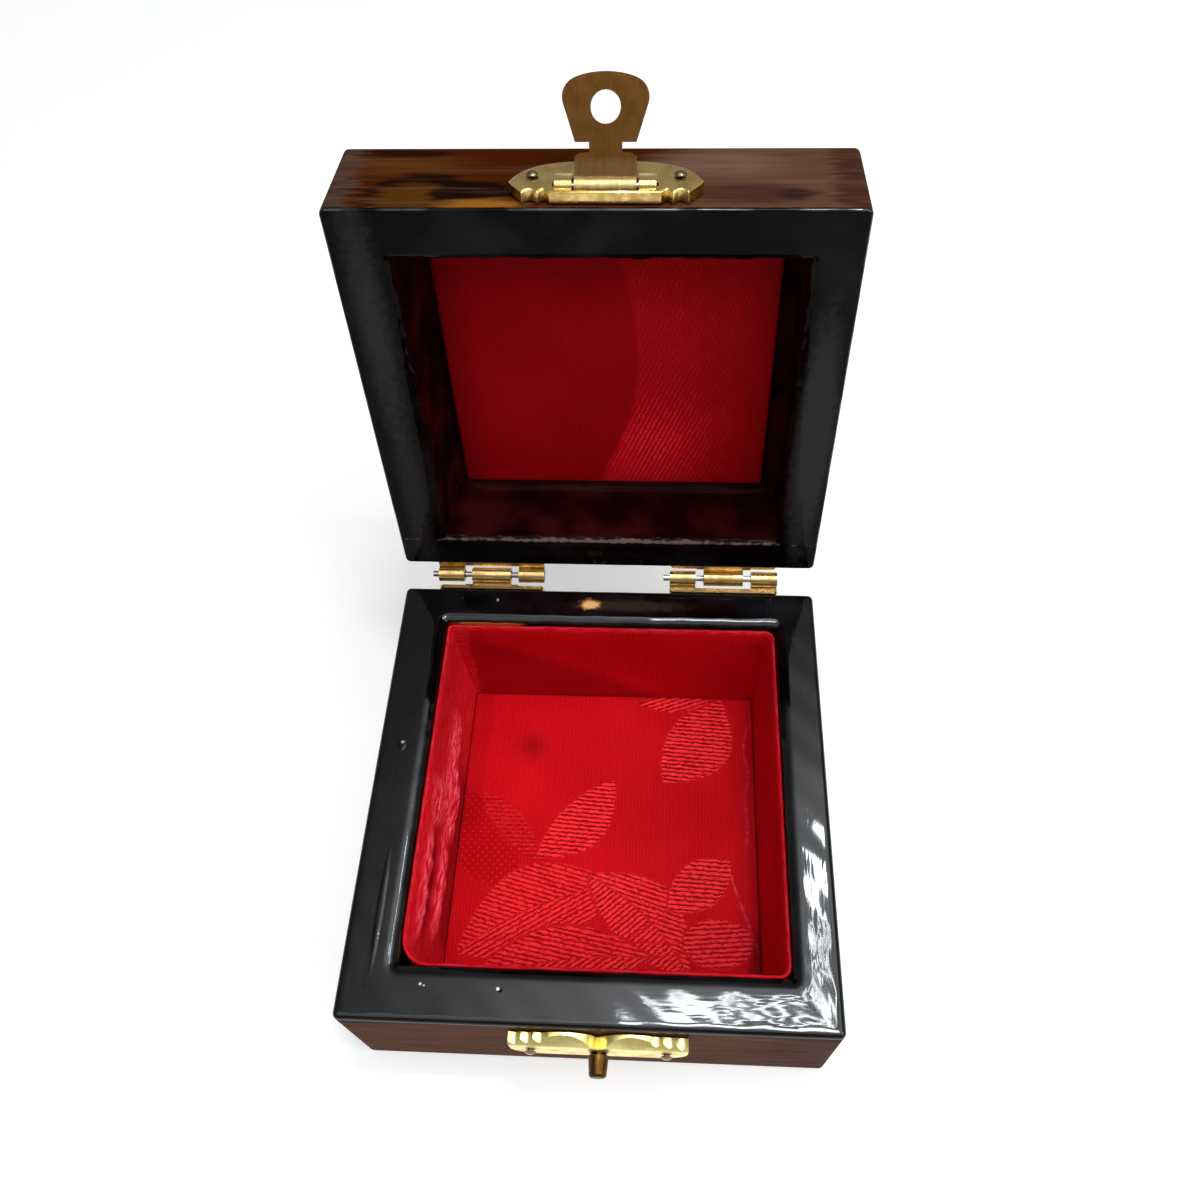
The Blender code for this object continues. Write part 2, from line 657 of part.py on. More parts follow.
def hasp_plate():
    """Scalloped plate with two ears for the pin, a slot for the leaf's barrel and a bridge below it."""
    half = HASP_PLATE_WIDTH / 2
    depth = HASP_PLATE_HEIGHT * HASP_SCALLOP_DEPTH_SHARE
    right = [(0.0, 0.0)] + scalloped(HASP_SCALLOP_SHARES, half, HASP_PLATE_HEIGHT, depth)
    right += bezier_points(HASP_UPPER_SHARES, half, HASP_PLATE_HEIGHT)
    outline = shifted(mirrored(without_repeats(right)), HASP_X, HASP_PLATE_Z)
    plate = bevelled_plate('hasp_plate', outline, SEAT_GAP, HASP_PLATE_FACE, HASP_PLATE_BEVEL, on_front)
    slot_half = HASP_BARREL_LENGTH / 2 + SEAT_GAP
    ears = []
    for side in (-1, 1):
        ends = sorted((HASP_X + side * slot_half, HASP_X + side * (slot_half + HASP_EAR_LENGTH)))
        ears.append(prism('ear', ear_outline(), *ends, along_x))
    join(plate, *ears)
    # The leaf leans back until its outer face meets the slot's top edge on the plate's face
    face_rise = HASP_PLATE_FACE - HASP_AXIS_OUT
    resting_reach = HASP_BARREL_RADIUS + SEAT_GAP - face_rise * math.cos(HASP_LEAN_ANGLE)
    slot_top = HASP_AXIS.z + resting_reach / math.sin(HASP_LEAN_ANGLE)
    slot_outline = rectangle(HASP_X - slot_half, HASP_X + slot_half, HASP_SLOT_Z, slot_top)
    slot = prism('slot', slot_outline, -OVERRUN, HASP_PLATE_FACE + OVERRUN, on_front)
    # The bore ends just past the pin, so it stays inside the ears and the plate's edge is whole
    bore_half = slot_half + HASP_EAR_LENGTH + SEAT_GAP
    bore = prism('bore', circle(HASP_AXIS.y, HASP_AXIS.z, HASP_PIN_RADIUS + SEAT_GAP, SMALL_CIRCLE_STEPS),
                 HASP_X - bore_half, HASP_X + bore_half, along_x)
    return cut(plate, slot, bore, *plate_nail_holes(hasp_nail_places()))


def hasp_pin():
    half = HASP_BARREL_LENGTH / 2 + SEAT_GAP + HASP_EAR_LENGTH
    return prism('hasp_pin', circle(HASP_AXIS.y, HASP_AXIS.z, HASP_PIN_RADIUS, SMALL_CIRCLE_STEPS),
                 HASP_X - half, HASP_X + half, along_x)


def hasp_leaf():
    """Leaf hanging over the post: head with its hole, neck, and a foot curled round the pin."""
    half = HASP_LEAF_WIDTH / 2
    foot = HASP_BARREL_LENGTH / 2
    neck_half = HASP_NECK_WIDTH / 2
    corner_u, corner_v = LEAF_CORNER_SHARES
    head = bezier_points(LEAF_HEAD_SHARES, half, -HASP_LEAF_LENGTH)
    neck = [(corner_u * half, -corner_v * HASP_LEAF_LENGTH), (neck_half, -corner_v * HASP_LEAF_LENGTH),
            (neck_half, -LEAF_NECK_END_SHARE * HASP_LEAF_LENGTH)]
    shoulder = [(u * foot, -v * HASP_LEAF_LENGTH) for u, v in LEAF_SHOULDER_SHARES]
    right = head + neck + shoulder + [(foot, 0.0), (0.0, 0.0)]
    outline = shifted(mirrored(without_repeats(right)), HASP_X, HASP_AXIS.z)
    outer = HASP_AXIS_OUT + HASP_BARREL_RADIUS
    leaf = prism('hasp_leaf', outline, outer - HASP_LEAF_SHEET, outer, on_front)
    barrel_outline = circle(HASP_AXIS.y, HASP_AXIS.z, HASP_BARREL_RADIUS)
    join(leaf, prism('barrel', barrel_outline, HASP_X - foot, HASP_X + foot, along_x))
    hole_outline = circle(HASP_X, HASP_HOLE_Z, POST_ROOT_RADIUS + HASP_HOLE_SIDE_PLAY, height=HASP_HOLE_RISE)
    hole = prism('hole', hole_outline, -OVERRUN, outer + OVERRUN, on_front)
    bore_half = foot + OVERRUN
    bore = prism('bore', circle(HASP_AXIS.y, HASP_AXIS.z, HASP_PIN_RADIUS + SEAT_GAP, SMALL_CIRCLE_STEPS),
                 HASP_X - bore_half, HASP_X + bore_half, along_x)
    return cut(leaf, hole, bore)


def slope_cutter(edge_z, side):
    """Cutter that slopes a plate from its thin edge up to its face; the side is 1 at the top edge."""
    thin = SEAT_GAP + POST_PLATE_EDGE
    rise = HASP_PLATE_FACE - thin
    near = (FRONT_Y - thin + OVERRUN, edge_z + side * OVERRUN)
    far = (FRONT_Y - HASP_PLATE_FACE - OVERRUN, edge_z - side * (rise + OVERRUN))
    outline = [near, far, (far[0], near[1])]
    half = HASP_PLATE_WIDTH / 2 + OVERRUN
    return prism('slope', outline, HASP_X - half, HASP_X + half, along_x)


def post_plate():
    """Plate under the post: two lobes that meet in a cusp above it, scalloped ends, sloped long edges."""
    half = HASP_PLATE_WIDTH / 2
    depth = POST_PLATE_HEIGHT * POST_SCALLOP_DEPTH_SHARE
    right = bezier_points(POST_LOWER_SHARES, half, POST_PLATE_HEIGHT)
    right += scalloped(POST_SCALLOP_SHARES, half, POST_PLATE_HEIGHT, depth)
    right += bezier_points(POST_LOBE_SHARES, half, POST_PLATE_HEIGHT)
    outline = shifted(mirrored(without_repeats(right)), HASP_X, POST_PLATE_Z)
    plate = bevelled_plate('hasp_post_plate', outline, SEAT_GAP, HASP_PLATE_FACE, HASP_PLATE_BEVEL, on_front)
    shank_hole = prism('hole', circle(HASP_X, POST_Z, POST_SHANK_RADIUS + SEAT_GAP),
                       -OVERRUN, HASP_PLATE_FACE + OVERRUN, on_front)
    slopes = [slope_cutter(POST_PLATE_Z, -1), slope_cutter(POST_PLATE_Z + POST_PLATE_HEIGHT, 1)]
    return cut(plate, shank_hole, *slopes, *plate_nail_holes(post_nail_places()))


def hasp_post():
    """Tapered peg with a round tip and a shank into the front board."""
    seat = HASP_PLATE_FACE + SEAT_GAP
    tip = seat + POST_LENGTH
    foot = seat - POST_SHANK_LENGTH
    radii = [(POST_SHANK_RADIUS, foot), (POST_SHANK_RADIUS, seat), (POST_ROOT_RADIUS, seat)]
    rounding = min(POST_TIP_ROUNDING, POST_TIP_RADIUS * ROUNDING_LIMIT_SHARE)
    for inset, w in reversed(edge_layers(POST_LENGTH, rounding, tip, -1)):
        radii.append((POST_TIP_RADIUS - inset, w))
    return stack('hasp_post', [(circle(HASP_X, POST_Z, radius), w) for radius, w in radii], on_front)


def base_pieces():
    """Everything that stays with the base."""
    post_hole = prism('hole', circle(HASP_X, POST_Z, POST_SHANK_RADIUS + SEAT_GAP),
                      -POST_SHANK_LENGTH, OVERRUN, on_front)
    holes = [post_hole]
    holes += plate_nail_holes(post_nail_places())
    holes += hinge_nail_holes(-1)
    for board in mitred_boards('base', FLOOR_PANEL + SEAT_GAP, BASE_HEIGHT, True, holes):
        finish(board, LACQUER)
    finish(wooden_panel('base_floor_panel', 0.0, FLOOR_PANEL, BOTTOM_RADIUS, True), LACQUER)
    finish(lining_band(), SILK)
    foot = FLOOR_PANEL + SEAT_GAP
    drawn_in = SEAT_GAP + BAND_THICKNESS + BAND_LEAN + SEAT_GAP
    left, right, front, back = WELL
    bounds = (left + drawn_in, right - drawn_in, front + drawn_in, back - drawn_in)
    corner = band_radius(BAND_THICKNESS + BAND_LEAN)
    finish(card('base_lining_floor', bounds, corner, foot, foot + FLOOR_CARD, True), SILK)
    finish(post_plate(), BRASS)
    finish(hasp_post(), BRASS)
    finish(hinge_leaf('hinge_left_base_leaf', HINGE_LEFT_X, -1, False), BRASS)
    finish(hinge_leaf('hinge_right_base_leaf', HINGE_RIGHT_X, -1, True), BRASS)
    finish(hinge_pin('hinge_right_pin', HINGE_RIGHT_X), STEEL)
    for label, (u, v) in zip(('left', 'right'), post_nail_places()):
        finish(nail('post_plate_nail_' + label, u, v, HASP_PLATE_FACE, on_front), BRASS)
    hinge_nails('base', -1, None)


def hinge_nails(half, side, carrier):
    """Two nails for each leaf of a half; the view from behind swaps their left and right."""
    for hinge, centre_x in (('left', HINGE_LEFT_X), ('right', HINGE_RIGHT_X)):
        for label, (u, v) in zip(('right', 'left'), hinge_nail_places(centre_x, side)):
            name = 'hinge_' + hinge + '_' + half + '_nail_' + label
            finish(nail(name, u, v, HINGE_PLATE_FACE, on_back), BRASS, carrier)


def lid_pieces(carrier):
    """Everything that turns with the lid."""
    holes = plate_nail_holes(hasp_nail_places()) + hinge_nail_holes(1)
    for board in mitred_boards('lid', LID_RIM_Z, CEILING_Z - SEAT_GAP, False, holes):
        finish(board, LACQUER, carrier)
    finish(wooden_panel('lid_top_panel', CEILING_Z, LID_TOP_Z, TOP_RADIUS, False), LACQUER, carrier)
    left, right, front, back = WELL
    margin = LID_CARD_MARGIN
    bounds = (left + margin, right - margin, front + margin, back - margin)
    high = CEILING_Z - SEAT_GAP
    finish(card('lid_lining_card', bounds, LID_CARD_CORNER, high - LID_CARD, high, False), SILK, carrier)
    finish(hasp_plate(), BRASS, carrier)
    finish(hasp_pin(), STEEL, carrier)
    finish(hinge_leaf('hinge_left_lid_leaf', HINGE_LEFT_X, 1, True), BRASS, carrier)
    finish(hinge_leaf('hinge_right_lid_leaf', HINGE_RIGHT_X, 1, False), BRASS, carrier)
    finish(hinge_pin('hinge_left_pin', HINGE_LEFT_X), STEEL, carrier)
    for label, (u, v) in zip(('left', 'right'), hasp_nail_places()):
        finish(nail('hasp_plate_nail_' + label, u, v, HASP_PLATE_FACE, on_front), BRASS, carrier)
    hinge_nails('lid', 1, carrier)


def main():
    clear_scene()
    lid_pivot = pivot('lid_pivot', HINGE_AXIS)
    hasp_pivot = pivot('hasp_pivot', HASP_AXIS, lid_pivot)
    base_pieces()
    lid_pieces(lid_pivot)
    finish(hasp_leaf(), BRASS, hasp_pivot, HASP_AXIS.copy())
    lid_pivot.rotation_euler.x = -LID_OPEN_ANGLE
    hasp_pivot.rotation_euler.x = -HASP_LEAN_ANGLE


main()
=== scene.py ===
# %% [markdown]
# A small lacquered jewelry box, standing open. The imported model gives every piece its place.
# This lesson dresses it: the wood gets its poured lacquer, the lining becomes woven silk, and
# the hardware gets worn brass. First the model is loaded, and its size is noted.

# %% Load the model
import math

import bmesh
import bpy
import numpy as np
from mathutils import Matrix, Vector


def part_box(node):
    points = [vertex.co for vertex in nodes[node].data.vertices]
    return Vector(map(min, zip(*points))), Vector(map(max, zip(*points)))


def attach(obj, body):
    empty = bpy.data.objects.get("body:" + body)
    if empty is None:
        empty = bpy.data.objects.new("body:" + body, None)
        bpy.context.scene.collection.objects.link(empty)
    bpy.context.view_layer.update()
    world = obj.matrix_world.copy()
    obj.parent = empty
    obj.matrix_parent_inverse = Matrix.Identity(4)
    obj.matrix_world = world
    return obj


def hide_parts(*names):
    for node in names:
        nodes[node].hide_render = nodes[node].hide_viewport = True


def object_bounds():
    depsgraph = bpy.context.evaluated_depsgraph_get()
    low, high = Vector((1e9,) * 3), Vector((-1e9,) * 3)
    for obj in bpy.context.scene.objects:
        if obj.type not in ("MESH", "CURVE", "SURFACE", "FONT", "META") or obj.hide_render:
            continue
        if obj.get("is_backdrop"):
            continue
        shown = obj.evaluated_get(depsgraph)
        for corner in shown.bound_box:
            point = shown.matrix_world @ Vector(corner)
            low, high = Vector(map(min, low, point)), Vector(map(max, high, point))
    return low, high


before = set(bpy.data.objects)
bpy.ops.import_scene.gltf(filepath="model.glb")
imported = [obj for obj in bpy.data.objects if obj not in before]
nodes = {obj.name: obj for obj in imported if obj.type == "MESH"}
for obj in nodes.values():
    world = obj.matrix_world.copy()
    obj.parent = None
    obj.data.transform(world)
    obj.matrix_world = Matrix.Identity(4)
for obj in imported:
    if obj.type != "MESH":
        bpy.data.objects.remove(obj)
cad_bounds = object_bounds()
MM = 0.001

# %% [markdown]
# The camera stands above the front edge and looks down into the box. Its place and its lens
# were worked out from the corners of the box, so it needs only a small shift to frame them.

# %% Camera
IMAGE_SIZE = 1200
FOCAL_PIXELS = 1080.948
PRINCIPAL_POINT = (609.547, 509.356)
SENSOR = 36
CAMERA_PLACE = Vector((10.48, -67.45, 201.4)) * MM
CAMERA_AHEAD = Vector((-0.0513, 0.5807, -0.8125)).normalized()
CAMERA_RIGHT = Vector((0.9986, 0.0419, -0.0331))


def new_object(name, data):
    """An object in the scene."""
    item = bpy.data.objects.new(name, data)
    bpy.context.scene.collection.objects.link(item)
    return item


right = (CAMERA_RIGHT - CAMERA_AHEAD * CAMERA_RIGHT.dot(CAMERA_AHEAD)).normalized()
above = right.cross(CAMERA_AHEAD)
camera = new_object("camera", bpy.data.cameras.new("camera"))
turned = Matrix((right, above, -CAMERA_AHEAD)).transposed().to_4x4()
camera.matrix_world = Matrix.Translation(CAMERA_PLACE) @ turned
camera.data.sensor_width = SENSOR
camera.data.lens = FOCAL_PIXELS / IMAGE_SIZE * SENSOR
camera.data.shift_x = (IMAGE_SIZE / 2 - PRINCIPAL_POINT[0]) / IMAGE_SIZE
camera.data.shift_y = (PRINCIPAL_POINT[1] - IMAGE_SIZE / 2) / IMAGE_SIZE
camera.data.clip_start = 5 * MM
bpy.context.scene.camera = camera
print("lens", round(camera.data.lens, 2))
print("shift", round(camera.data.shift_x, 4), round(camera.data.shift_y, 4))

# %% [markdown]
# Every material below is a small tree of nodes. One helper adds a node, fills its inputs in
# order, and links those that are given as sockets. It keeps the trees short enough to read.

# %% Node helpers
def place(tree, kind, *values, sockets=None, **settings):
    """Add a shader node. Values fill its inputs in order, and sockets fill them by name."""
    node = tree.nodes.new("ShaderNode" + kind)
    for name, value in settings.items():
        setattr(node, name, value)
    named = [(node.inputs[name], value) for name, value in (sockets or {}).items()]
    for socket, value in list(zip(node.inputs, values)) + named:
        if isinstance(value, bpy.types.NodeSocket):
            tree.links.new(value, socket)
        elif value is not None:
            socket.default_value = value
    return node


def math_node(tree, operation, *values):
    """The result of one sum on numbers or sockets."""
    return place(tree, "Math", *values, operation=operation).outputs[0]


def times_plus(tree, first, second, third):
    """The first number times the second, plus the third."""
    return math_node(tree, "MULTIPLY_ADD", first, second, third)


def vector_sum(tree, operation, first, second):
    """The result of one sum on vectors."""
    return place(tree, "VectorMath", first, second, operation=operation).outputs[0]


def product(tree, first, second):
    """Two numbers or sockets multiplied."""
    return math_node(tree, "MULTIPLY", first, second)


def length_of(tree, vector):
    """The length of a vector."""
    return place(tree, "VectorMath", vector, operation="LENGTH").outputs["Value"]


def own_place(tree):
    """The place of a point in the piece's own coordinates, in metres."""
    return place(tree, "TexCoord").outputs["Object"]


def kept_number(tree, name):
    """A named number that the mesh keeps at each point."""
    return place(tree, "Attribute", attribute_name=name).outputs["Fac"]


def laid_place(tree):
    """The place on the cloth or board, from the piece's own map."""
    return place(tree, "UVMap", uv_map="flow").outputs[0]


def mixed(tree, factor, first, second):
    """A colour between two colours."""
    ends = [end if isinstance(end, bpy.types.NodeSocket) else (*end, 1) for end in (first, second)]
    number_inputs = [None] * 5
    return place(tree, "Mix", factor, *number_inputs, *ends, data_type="RGBA").outputs[2]


def ramped(tree, value, start, end, low=0, high=1):
    """A number that goes smoothly from low at the start to high at the end."""
    smooth = {"interpolation_type": "SMOOTHSTEP"}
    return place(tree, "MapRange", value, start, end, low, high, **smooth).outputs[0]


def noise(tree, where, scale, detail=2, **settings):
    """Cloudy noise over a place that is stretched by a scale for each direction, per metre."""
    stretched = vector_sum(tree, "MULTIPLY", where, scale)
    sockets = {"Scale": 1, "Detail": detail, **settings}
    return place(tree, "TexNoise", stretched, sockets=sockets).outputs[0]


def new_group(name, inputs, outputs):
    """An empty node group with named sockets, and its input and output nodes."""
    tree = bpy.data.node_groups.new(name, "ShaderNodeTree")
    for way, sockets in (("INPUT", inputs), ("OUTPUT", outputs)):
        for label, kind in sockets.items():
            tree.interface.new_socket(label, in_out=way, socket_type="NodeSocket" + kind)
    return tree, tree.nodes.new("NodeGroupInput").outputs, tree.nodes.new("NodeGroupOutput").inputs


def use(tree, group, **values):
    """Place a node group in a material, and give its inputs by name."""
    return place(tree, "Group", sockets=values, node_tree=group).outputs


def new_material(name, **settings):
    """A material with a Principled shader whose plain values are set on its own sockets."""
    material = bpy.data.materials.new(name)
    material.use_nodes = True
    shader = material.node_tree.nodes["Principled BSDF"]
    for label, value in settings.items():
        shader.inputs[label.replace("_", " ")].default_value = value
    return material, material.node_tree, shader


def feed(tree, inputs, **results):
    """Link results to inputs by name, with _ for a space."""
    for label, result in results.items():
        tree.links.new(result, inputs[label.replace("_", " ")])


def bump(tree, shader, *layers):
    """Raise the surface by the sum of its layers, each a pattern and its size in metres."""
    height = 0
    for pattern, size in layers:
        height = times_plus(tree, pattern, size, height)
    node = place(tree, "Bump", sockets={"Strength": 1, "Distance": 1, "Height": height})
    feed(tree, shader.inputs, Normal=node.outputs["Normal"])


# %% [markdown]
# The wooden halves are boards glued at mitred corners, but the lacquer was poured on after
# that and hides every joint. So each half is shown as one skin: a profile that runs up the
# outside, over the rim and down into the well, carried round a rectangle with small corners.

# %% Rings and surfaces
ARC_POINTS = 7
SIDE_POINTS = 97


def ring(bounds, inset, radii):
    """A rounded rectangle drawn in by an inset, anticlockwise from the front right corner.

    Each corner is centre + r (cos a, sin a) for a quarter turn, and each side is a straight
    mix of the two arc ends beside it. Returns an array [point, xy].
    """
    left, right, front, back = bounds
    r = np.maximum(np.asarray(radii) * np.ones(4) - inset, 0.05 * MM)
    reach = inset + r
    centres = np.stack([np.array([right, right, left, left]) + reach * (-1, -1, 1, 1),
                        np.array([front, back, back, front]) + reach * (1, -1, -1, 1)], axis=-1)
    angles = np.pi / 2 * (np.arange(4)[:, None] - 1 + np.linspace(0, 1, ARC_POINTS))
    arcs = centres[:, None] + r[:, None, None] * np.stack([np.cos(angles), np.sin(angles)], axis=-1)
    share = np.linspace(0, 1, SIDE_POINTS)[None, 1:-1, None]
    sides = arcs[:, -1][:, None] * (1 - share) + np.roll(arcs[:, 0], -1, axis=0)[:, None] * share
    return np.concatenate([arcs, sides], axis=1).reshape(-1, 2)


def inward_way(bounds, start, radii):
    """The direction into the rectangle, of length 1, at each point of a ring."""
    way = ring(bounds, start + 1 * MM, radii) - ring(bounds, start, radii)
    return (way / np.linalg.norm(way, axis=-1, keepdims=True))[None]


def at_corners(values):
    """The values at the four corners of each face between neighbouring rows and columns."""
    return np.stack([values[:-1, :-1], values[:-1, 1:], values[1:, 1:], values[1:, :-1]], axis=2)


def surface(name, grid, is_tube=False, caps=(), laid=None, flow=None, shares=None):
    """A mesh from points [row, column, xyz], with a face between each four neighbours.

    The last column joins the first, and in a tube the last row joins the first too. The caps
    are rows closed with one flat face, whose place on its board is the x and y of the laid
    grid. The flow gives each other face corner its place on the cloth or board, and the
    shares are named numbers kept at each point.
    """
    rows, columns = grid.shape[:2]
    index = np.arange(rows * columns).reshape(rows, columns)
    index = np.pad(index, ((0, int(is_tube)), (0, 1)), mode="wrap")
    faces = at_corners(index).reshape(-1, 4).tolist()
    faces += [(np.arange(columns) + row % rows * columns).tolist() for row in caps]
    corners = np.concatenate([flow.reshape(-1, 2)] + [laid[row, :, :2] for row in caps])
    return outward(name, grid.reshape(-1, 3), faces, corners, shares)


def outward(name, points, faces, corners, shares):
    """A smooth closed mesh whose faces all point out, with its map and its named numbers."""
    mesh = bpy.data.meshes.new(name)
    mesh.from_pydata(points, [], faces)
    mesh.uv_layers.new(name="flow").data.foreach_set("uv", corners.ravel())
    for label, values in shares.items():
        kept = mesh.attributes.new(label, "FLOAT", "POINT").data
        kept.foreach_set("value", values.ravel().astype(np.float32))
    shape = bmesh.new()
    shape.from_mesh(mesh)
    bmesh.ops.recalc_face_normals(shape, faces=shape.faces)
    shape.to_mesh(mesh)
    shape.free()
    mesh.shade_smooth()
    return new_object(name, mesh)


def paint(item, *materials):
    """Give a piece these materials in place of those it has."""
    item.data.materials.clear()
    for material in materials:
        item.data.materials.append(material)


def dress(item, body, slot, replaced, *materials):
    """Give a piece its body and materials, and hide the nodes that it stands for. Its slot is not
    used.
    """
    paint(item, *materials)
    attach(item, body)
    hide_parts(*replaced)
    print(item.name, "on", body, "faces", len(item.data.polygons))


def ripple(*waves):
    """Mean of sines over (place, length, phase) triples: a hand made unevenness within 1."""
    sines = [np.sin(2 * np.pi * where / length + phase) for where, length, phase in waves]
    return sum(sines) / len(waves)


# %% [markdown]
# The box's own sizes are those of the model. The lid is worked out closed, as its maker would,
# and then turned back about the hinge line to where it stands.

# %% Sizes of the wooden halves
BOX = np.array([-38, 38, -37.5, 37.5]) * MM
WELL = np.array([-29.7, 31, -29.6, 30.7]) * MM
BASE_HEIGHT = 28.5 * MM
LID_HEIGHT = 17 * MM
FLOOR_TOP = 2.9 * MM
CEILING_DEPTH = 13.7 * MM
HINGE_LINE = np.array([40.4, 28.7]) * MM
LID_RIM = 28.9 * MM
LID_TURN = math.radians(97.5)
LIP_DROP = 0.8 * MM


def opened(points):
    """Turn closed lid points back about the hinge line: (y, z) rotates by minus the lid's turn."""
    dy = points[..., 1] - HINGE_LINE[0]
    dz = points[..., 2] - HINGE_LINE[1]
    y = HINGE_LINE[0] + dy * math.cos(LID_TURN) + dz * math.sin(LID_TURN)
    z = HINGE_LINE[1] - dy * math.sin(LID_TURN) + dz * math.cos(LID_TURN)
    return np.stack([points[..., 0], y, z], axis=-1)


def case_rows(height, foot_radius, rim_radius, lip_width, well_depth):
    """Rows of the skin from the foot's flat, up the outside, over the rim and down the well.

    Each row is (outer inset, share of the way to the well, well outset, height, rim, inner).
    The lip of the well is a quarter ellipse, since the lacquer drew back from it as it dried.
    """
    bend = [(math.sin(angle), math.cos(angle)) for angle in np.linspace(0, np.pi / 2, 9)]
    rows = [(foot_radius * (1 - s), 0, 0, foot_radius * (1 - c), 0, 0) for s, c in bend]
    upright = np.linspace(foot_radius, height - rim_radius - 1.2 * MM, 5)[1:]
    rows += [(0, 0, 0, z, 0, 0) for z in upright] + [(0, 0, 0, height - rim_radius, 0.5, 0)]
    rows += [(rim_radius * (1 - c), 0, 0, height - rim_radius * (1 - s), 0.5 + 0.5 * s, 0)
             for s, c in bend[1:]]
    rows += [(rim_radius, share, lip_width, height, 1, 0) for share in np.linspace(0, 1, 9)[1:]]
    rows += [(0, 1, lip_width * (1 - s), height - LIP_DROP * (1 - c), 1, s) for s, c in bend[1:]]
    fine, coarse = np.linspace(LIP_DROP, 4 * LIP_DROP, 9), np.linspace(4 * LIP_DROP, well_depth, 5)
    rows += [(0, 1, 0, height - depth, 1, 1) for depth in (*fine[1:], *coarse[1:])]
    return np.array(rows)


def case_grid(table, height, runs):
    """Points of one half with its rim up: every row mixes an outer ring with the well's ring.

    Lacquer ran over the lip of the well, so it swells inwards by the runs, which fade as
    exp(-((depth - 1) / 0.9)^2), and the rim rises and falls by a few hundredths.
    """
    outer = np.stack([ring(BOX, inset, 1 * MM) for inset in table[:, 0]])
    inner = np.stack([ring(WELL, -outset, 0.5 * MM) for outset in table[:, 2]])
    share = table[:, 1][:, None, None]
    flat = outer * (1 - share) + inner * share
    x, y = flat[..., 0], flat[..., 1]
    depth = (height - table[:, 3]) / MM
    fade = (table[:, 5] * np.exp(-((depth - 1) / 0.9) ** 2))[:, None]
    uneven = ripple((x + y, 13 * MM, 0.4), (x - y, 7.3 * MM, 1.9), (x + y, 3.7 * MM, 3))
    swell = runs[0] + runs[1] * uneven
    flat = flat + inward_way(WELL, 0, 0.5 * MM) * (fade * swell)[..., None]
    lift = 0.035 * MM * ripple((x, 17 * MM, 1), (y, 21 * MM, 0.2), (x + y, 8 * MM, 2))
    tall = table[:, 3][:, None] + table[:, 4][:, None] * lift
    return np.concatenate([flat, tall[..., None]], axis=-1)


def way_along(points):
    """The length of a path up to each of its points: the sum of the steps before it."""
    return np.concatenate([[0], np.cumsum(np.linalg.norm(np.diff(points, axis=0), axis=-1))])


def board_flow(grid):
    """Place of each face corner on its board: along the board, and across it round the profile.

    The right, back, left and front boards start 0, 200, 400 and 600 mm along.
    """
    columns = grid.shape[1]
    corners = at_corners(np.pad(grid, ((0, 0), (0, 1), (0, 0)), mode="wrap"))
    board = ((np.arange(columns) - ARC_POINTS // 2) // (columns // 4) % 4)[:, None]
    along = np.where(board % 2 == 0, corners[..., 1], corners[..., 0]) + board * 200 * MM
    across = way_along(grid[:, SIDE_POINTS // 2])[:, None].repeat(columns + 1, axis=1)
    return np.stack([along, at_corners(across)], axis=-1)


def rim_kinds(item, table, columns):
    """Give the second material to rows whose rim share is over a half, and not in the well."""
    kind = ((table[1:, 4] > 0.5) & (table[:-1, 5] < 1)).astype(np.int32)
    kinds = np.zeros(len(item.data.polygons), np.int32)
    kinds[:len(kind) * columns] = np.repeat(kind, columns)
    item.data.polygons.foreach_set("material_index", kinds)


# %% [markdown]
# Lacquer is a thick clear coat brushed over stained wood. On the rims it lies deep and looks
# black, and its brush marks are shallow ridges along each board, which break the reflection
# of a window into white streaks. Its colour has soft grey smears, partly painted reflection.
# Small marks of wear, and painted reflections, are soft ovals with a ragged edge.

# %% Lacquer on the rims
spot, group_in, group_out = new_group(
    "soft_spot",
    {"Place": "Vector", "Centre": "Vector", "Size": "Vector", "Softness": "Float", "Rag": "Float"},
    {"Mask": "Float"})
offset = vector_sum(spot, "SUBTRACT", group_in["Place"], group_in["Centre"])
scaled = vector_sum(spot, "DIVIDE", offset, group_in["Size"])
ragged = noise(spot, group_in["Place"], (900, 900, 900))
ragged = math_node(spot, "SUBTRACT", ragged, 0.5)
reach = times_plus(spot, ragged, group_in["Rag"], length_of(spot, scaled))
edge = math_node(spot, "DIVIDE", math_node(spot, "SUBTRACT", 1, reach), group_in["Softness"])
feed(spot, group_out, Mask=ramped(spot, edge, -0.5, 0.5))


def soft_spot(tree, where, centre, size, softness, rag):
    """The mask of a soft oval: its centre and its size along each axis are in millimetres."""
    return use(tree, spot, Place=where, Centre=Vector(centre) * MM, Size=Vector(size) * MM,
               Softness=softness, Rag=rag)["Mask"]


def marked(tree, where, colour, marks):
    """Paint soft spots over a colour: each is (centre, size, softness, rag, strength, shade)."""
    for centre, size, softness, rag, strength, shade in marks:
        mask = soft_spot(tree, where, centre, size, softness, rag)
        colour = mixed(tree, product(tree, mask, strength), colour, shade)
    return colour


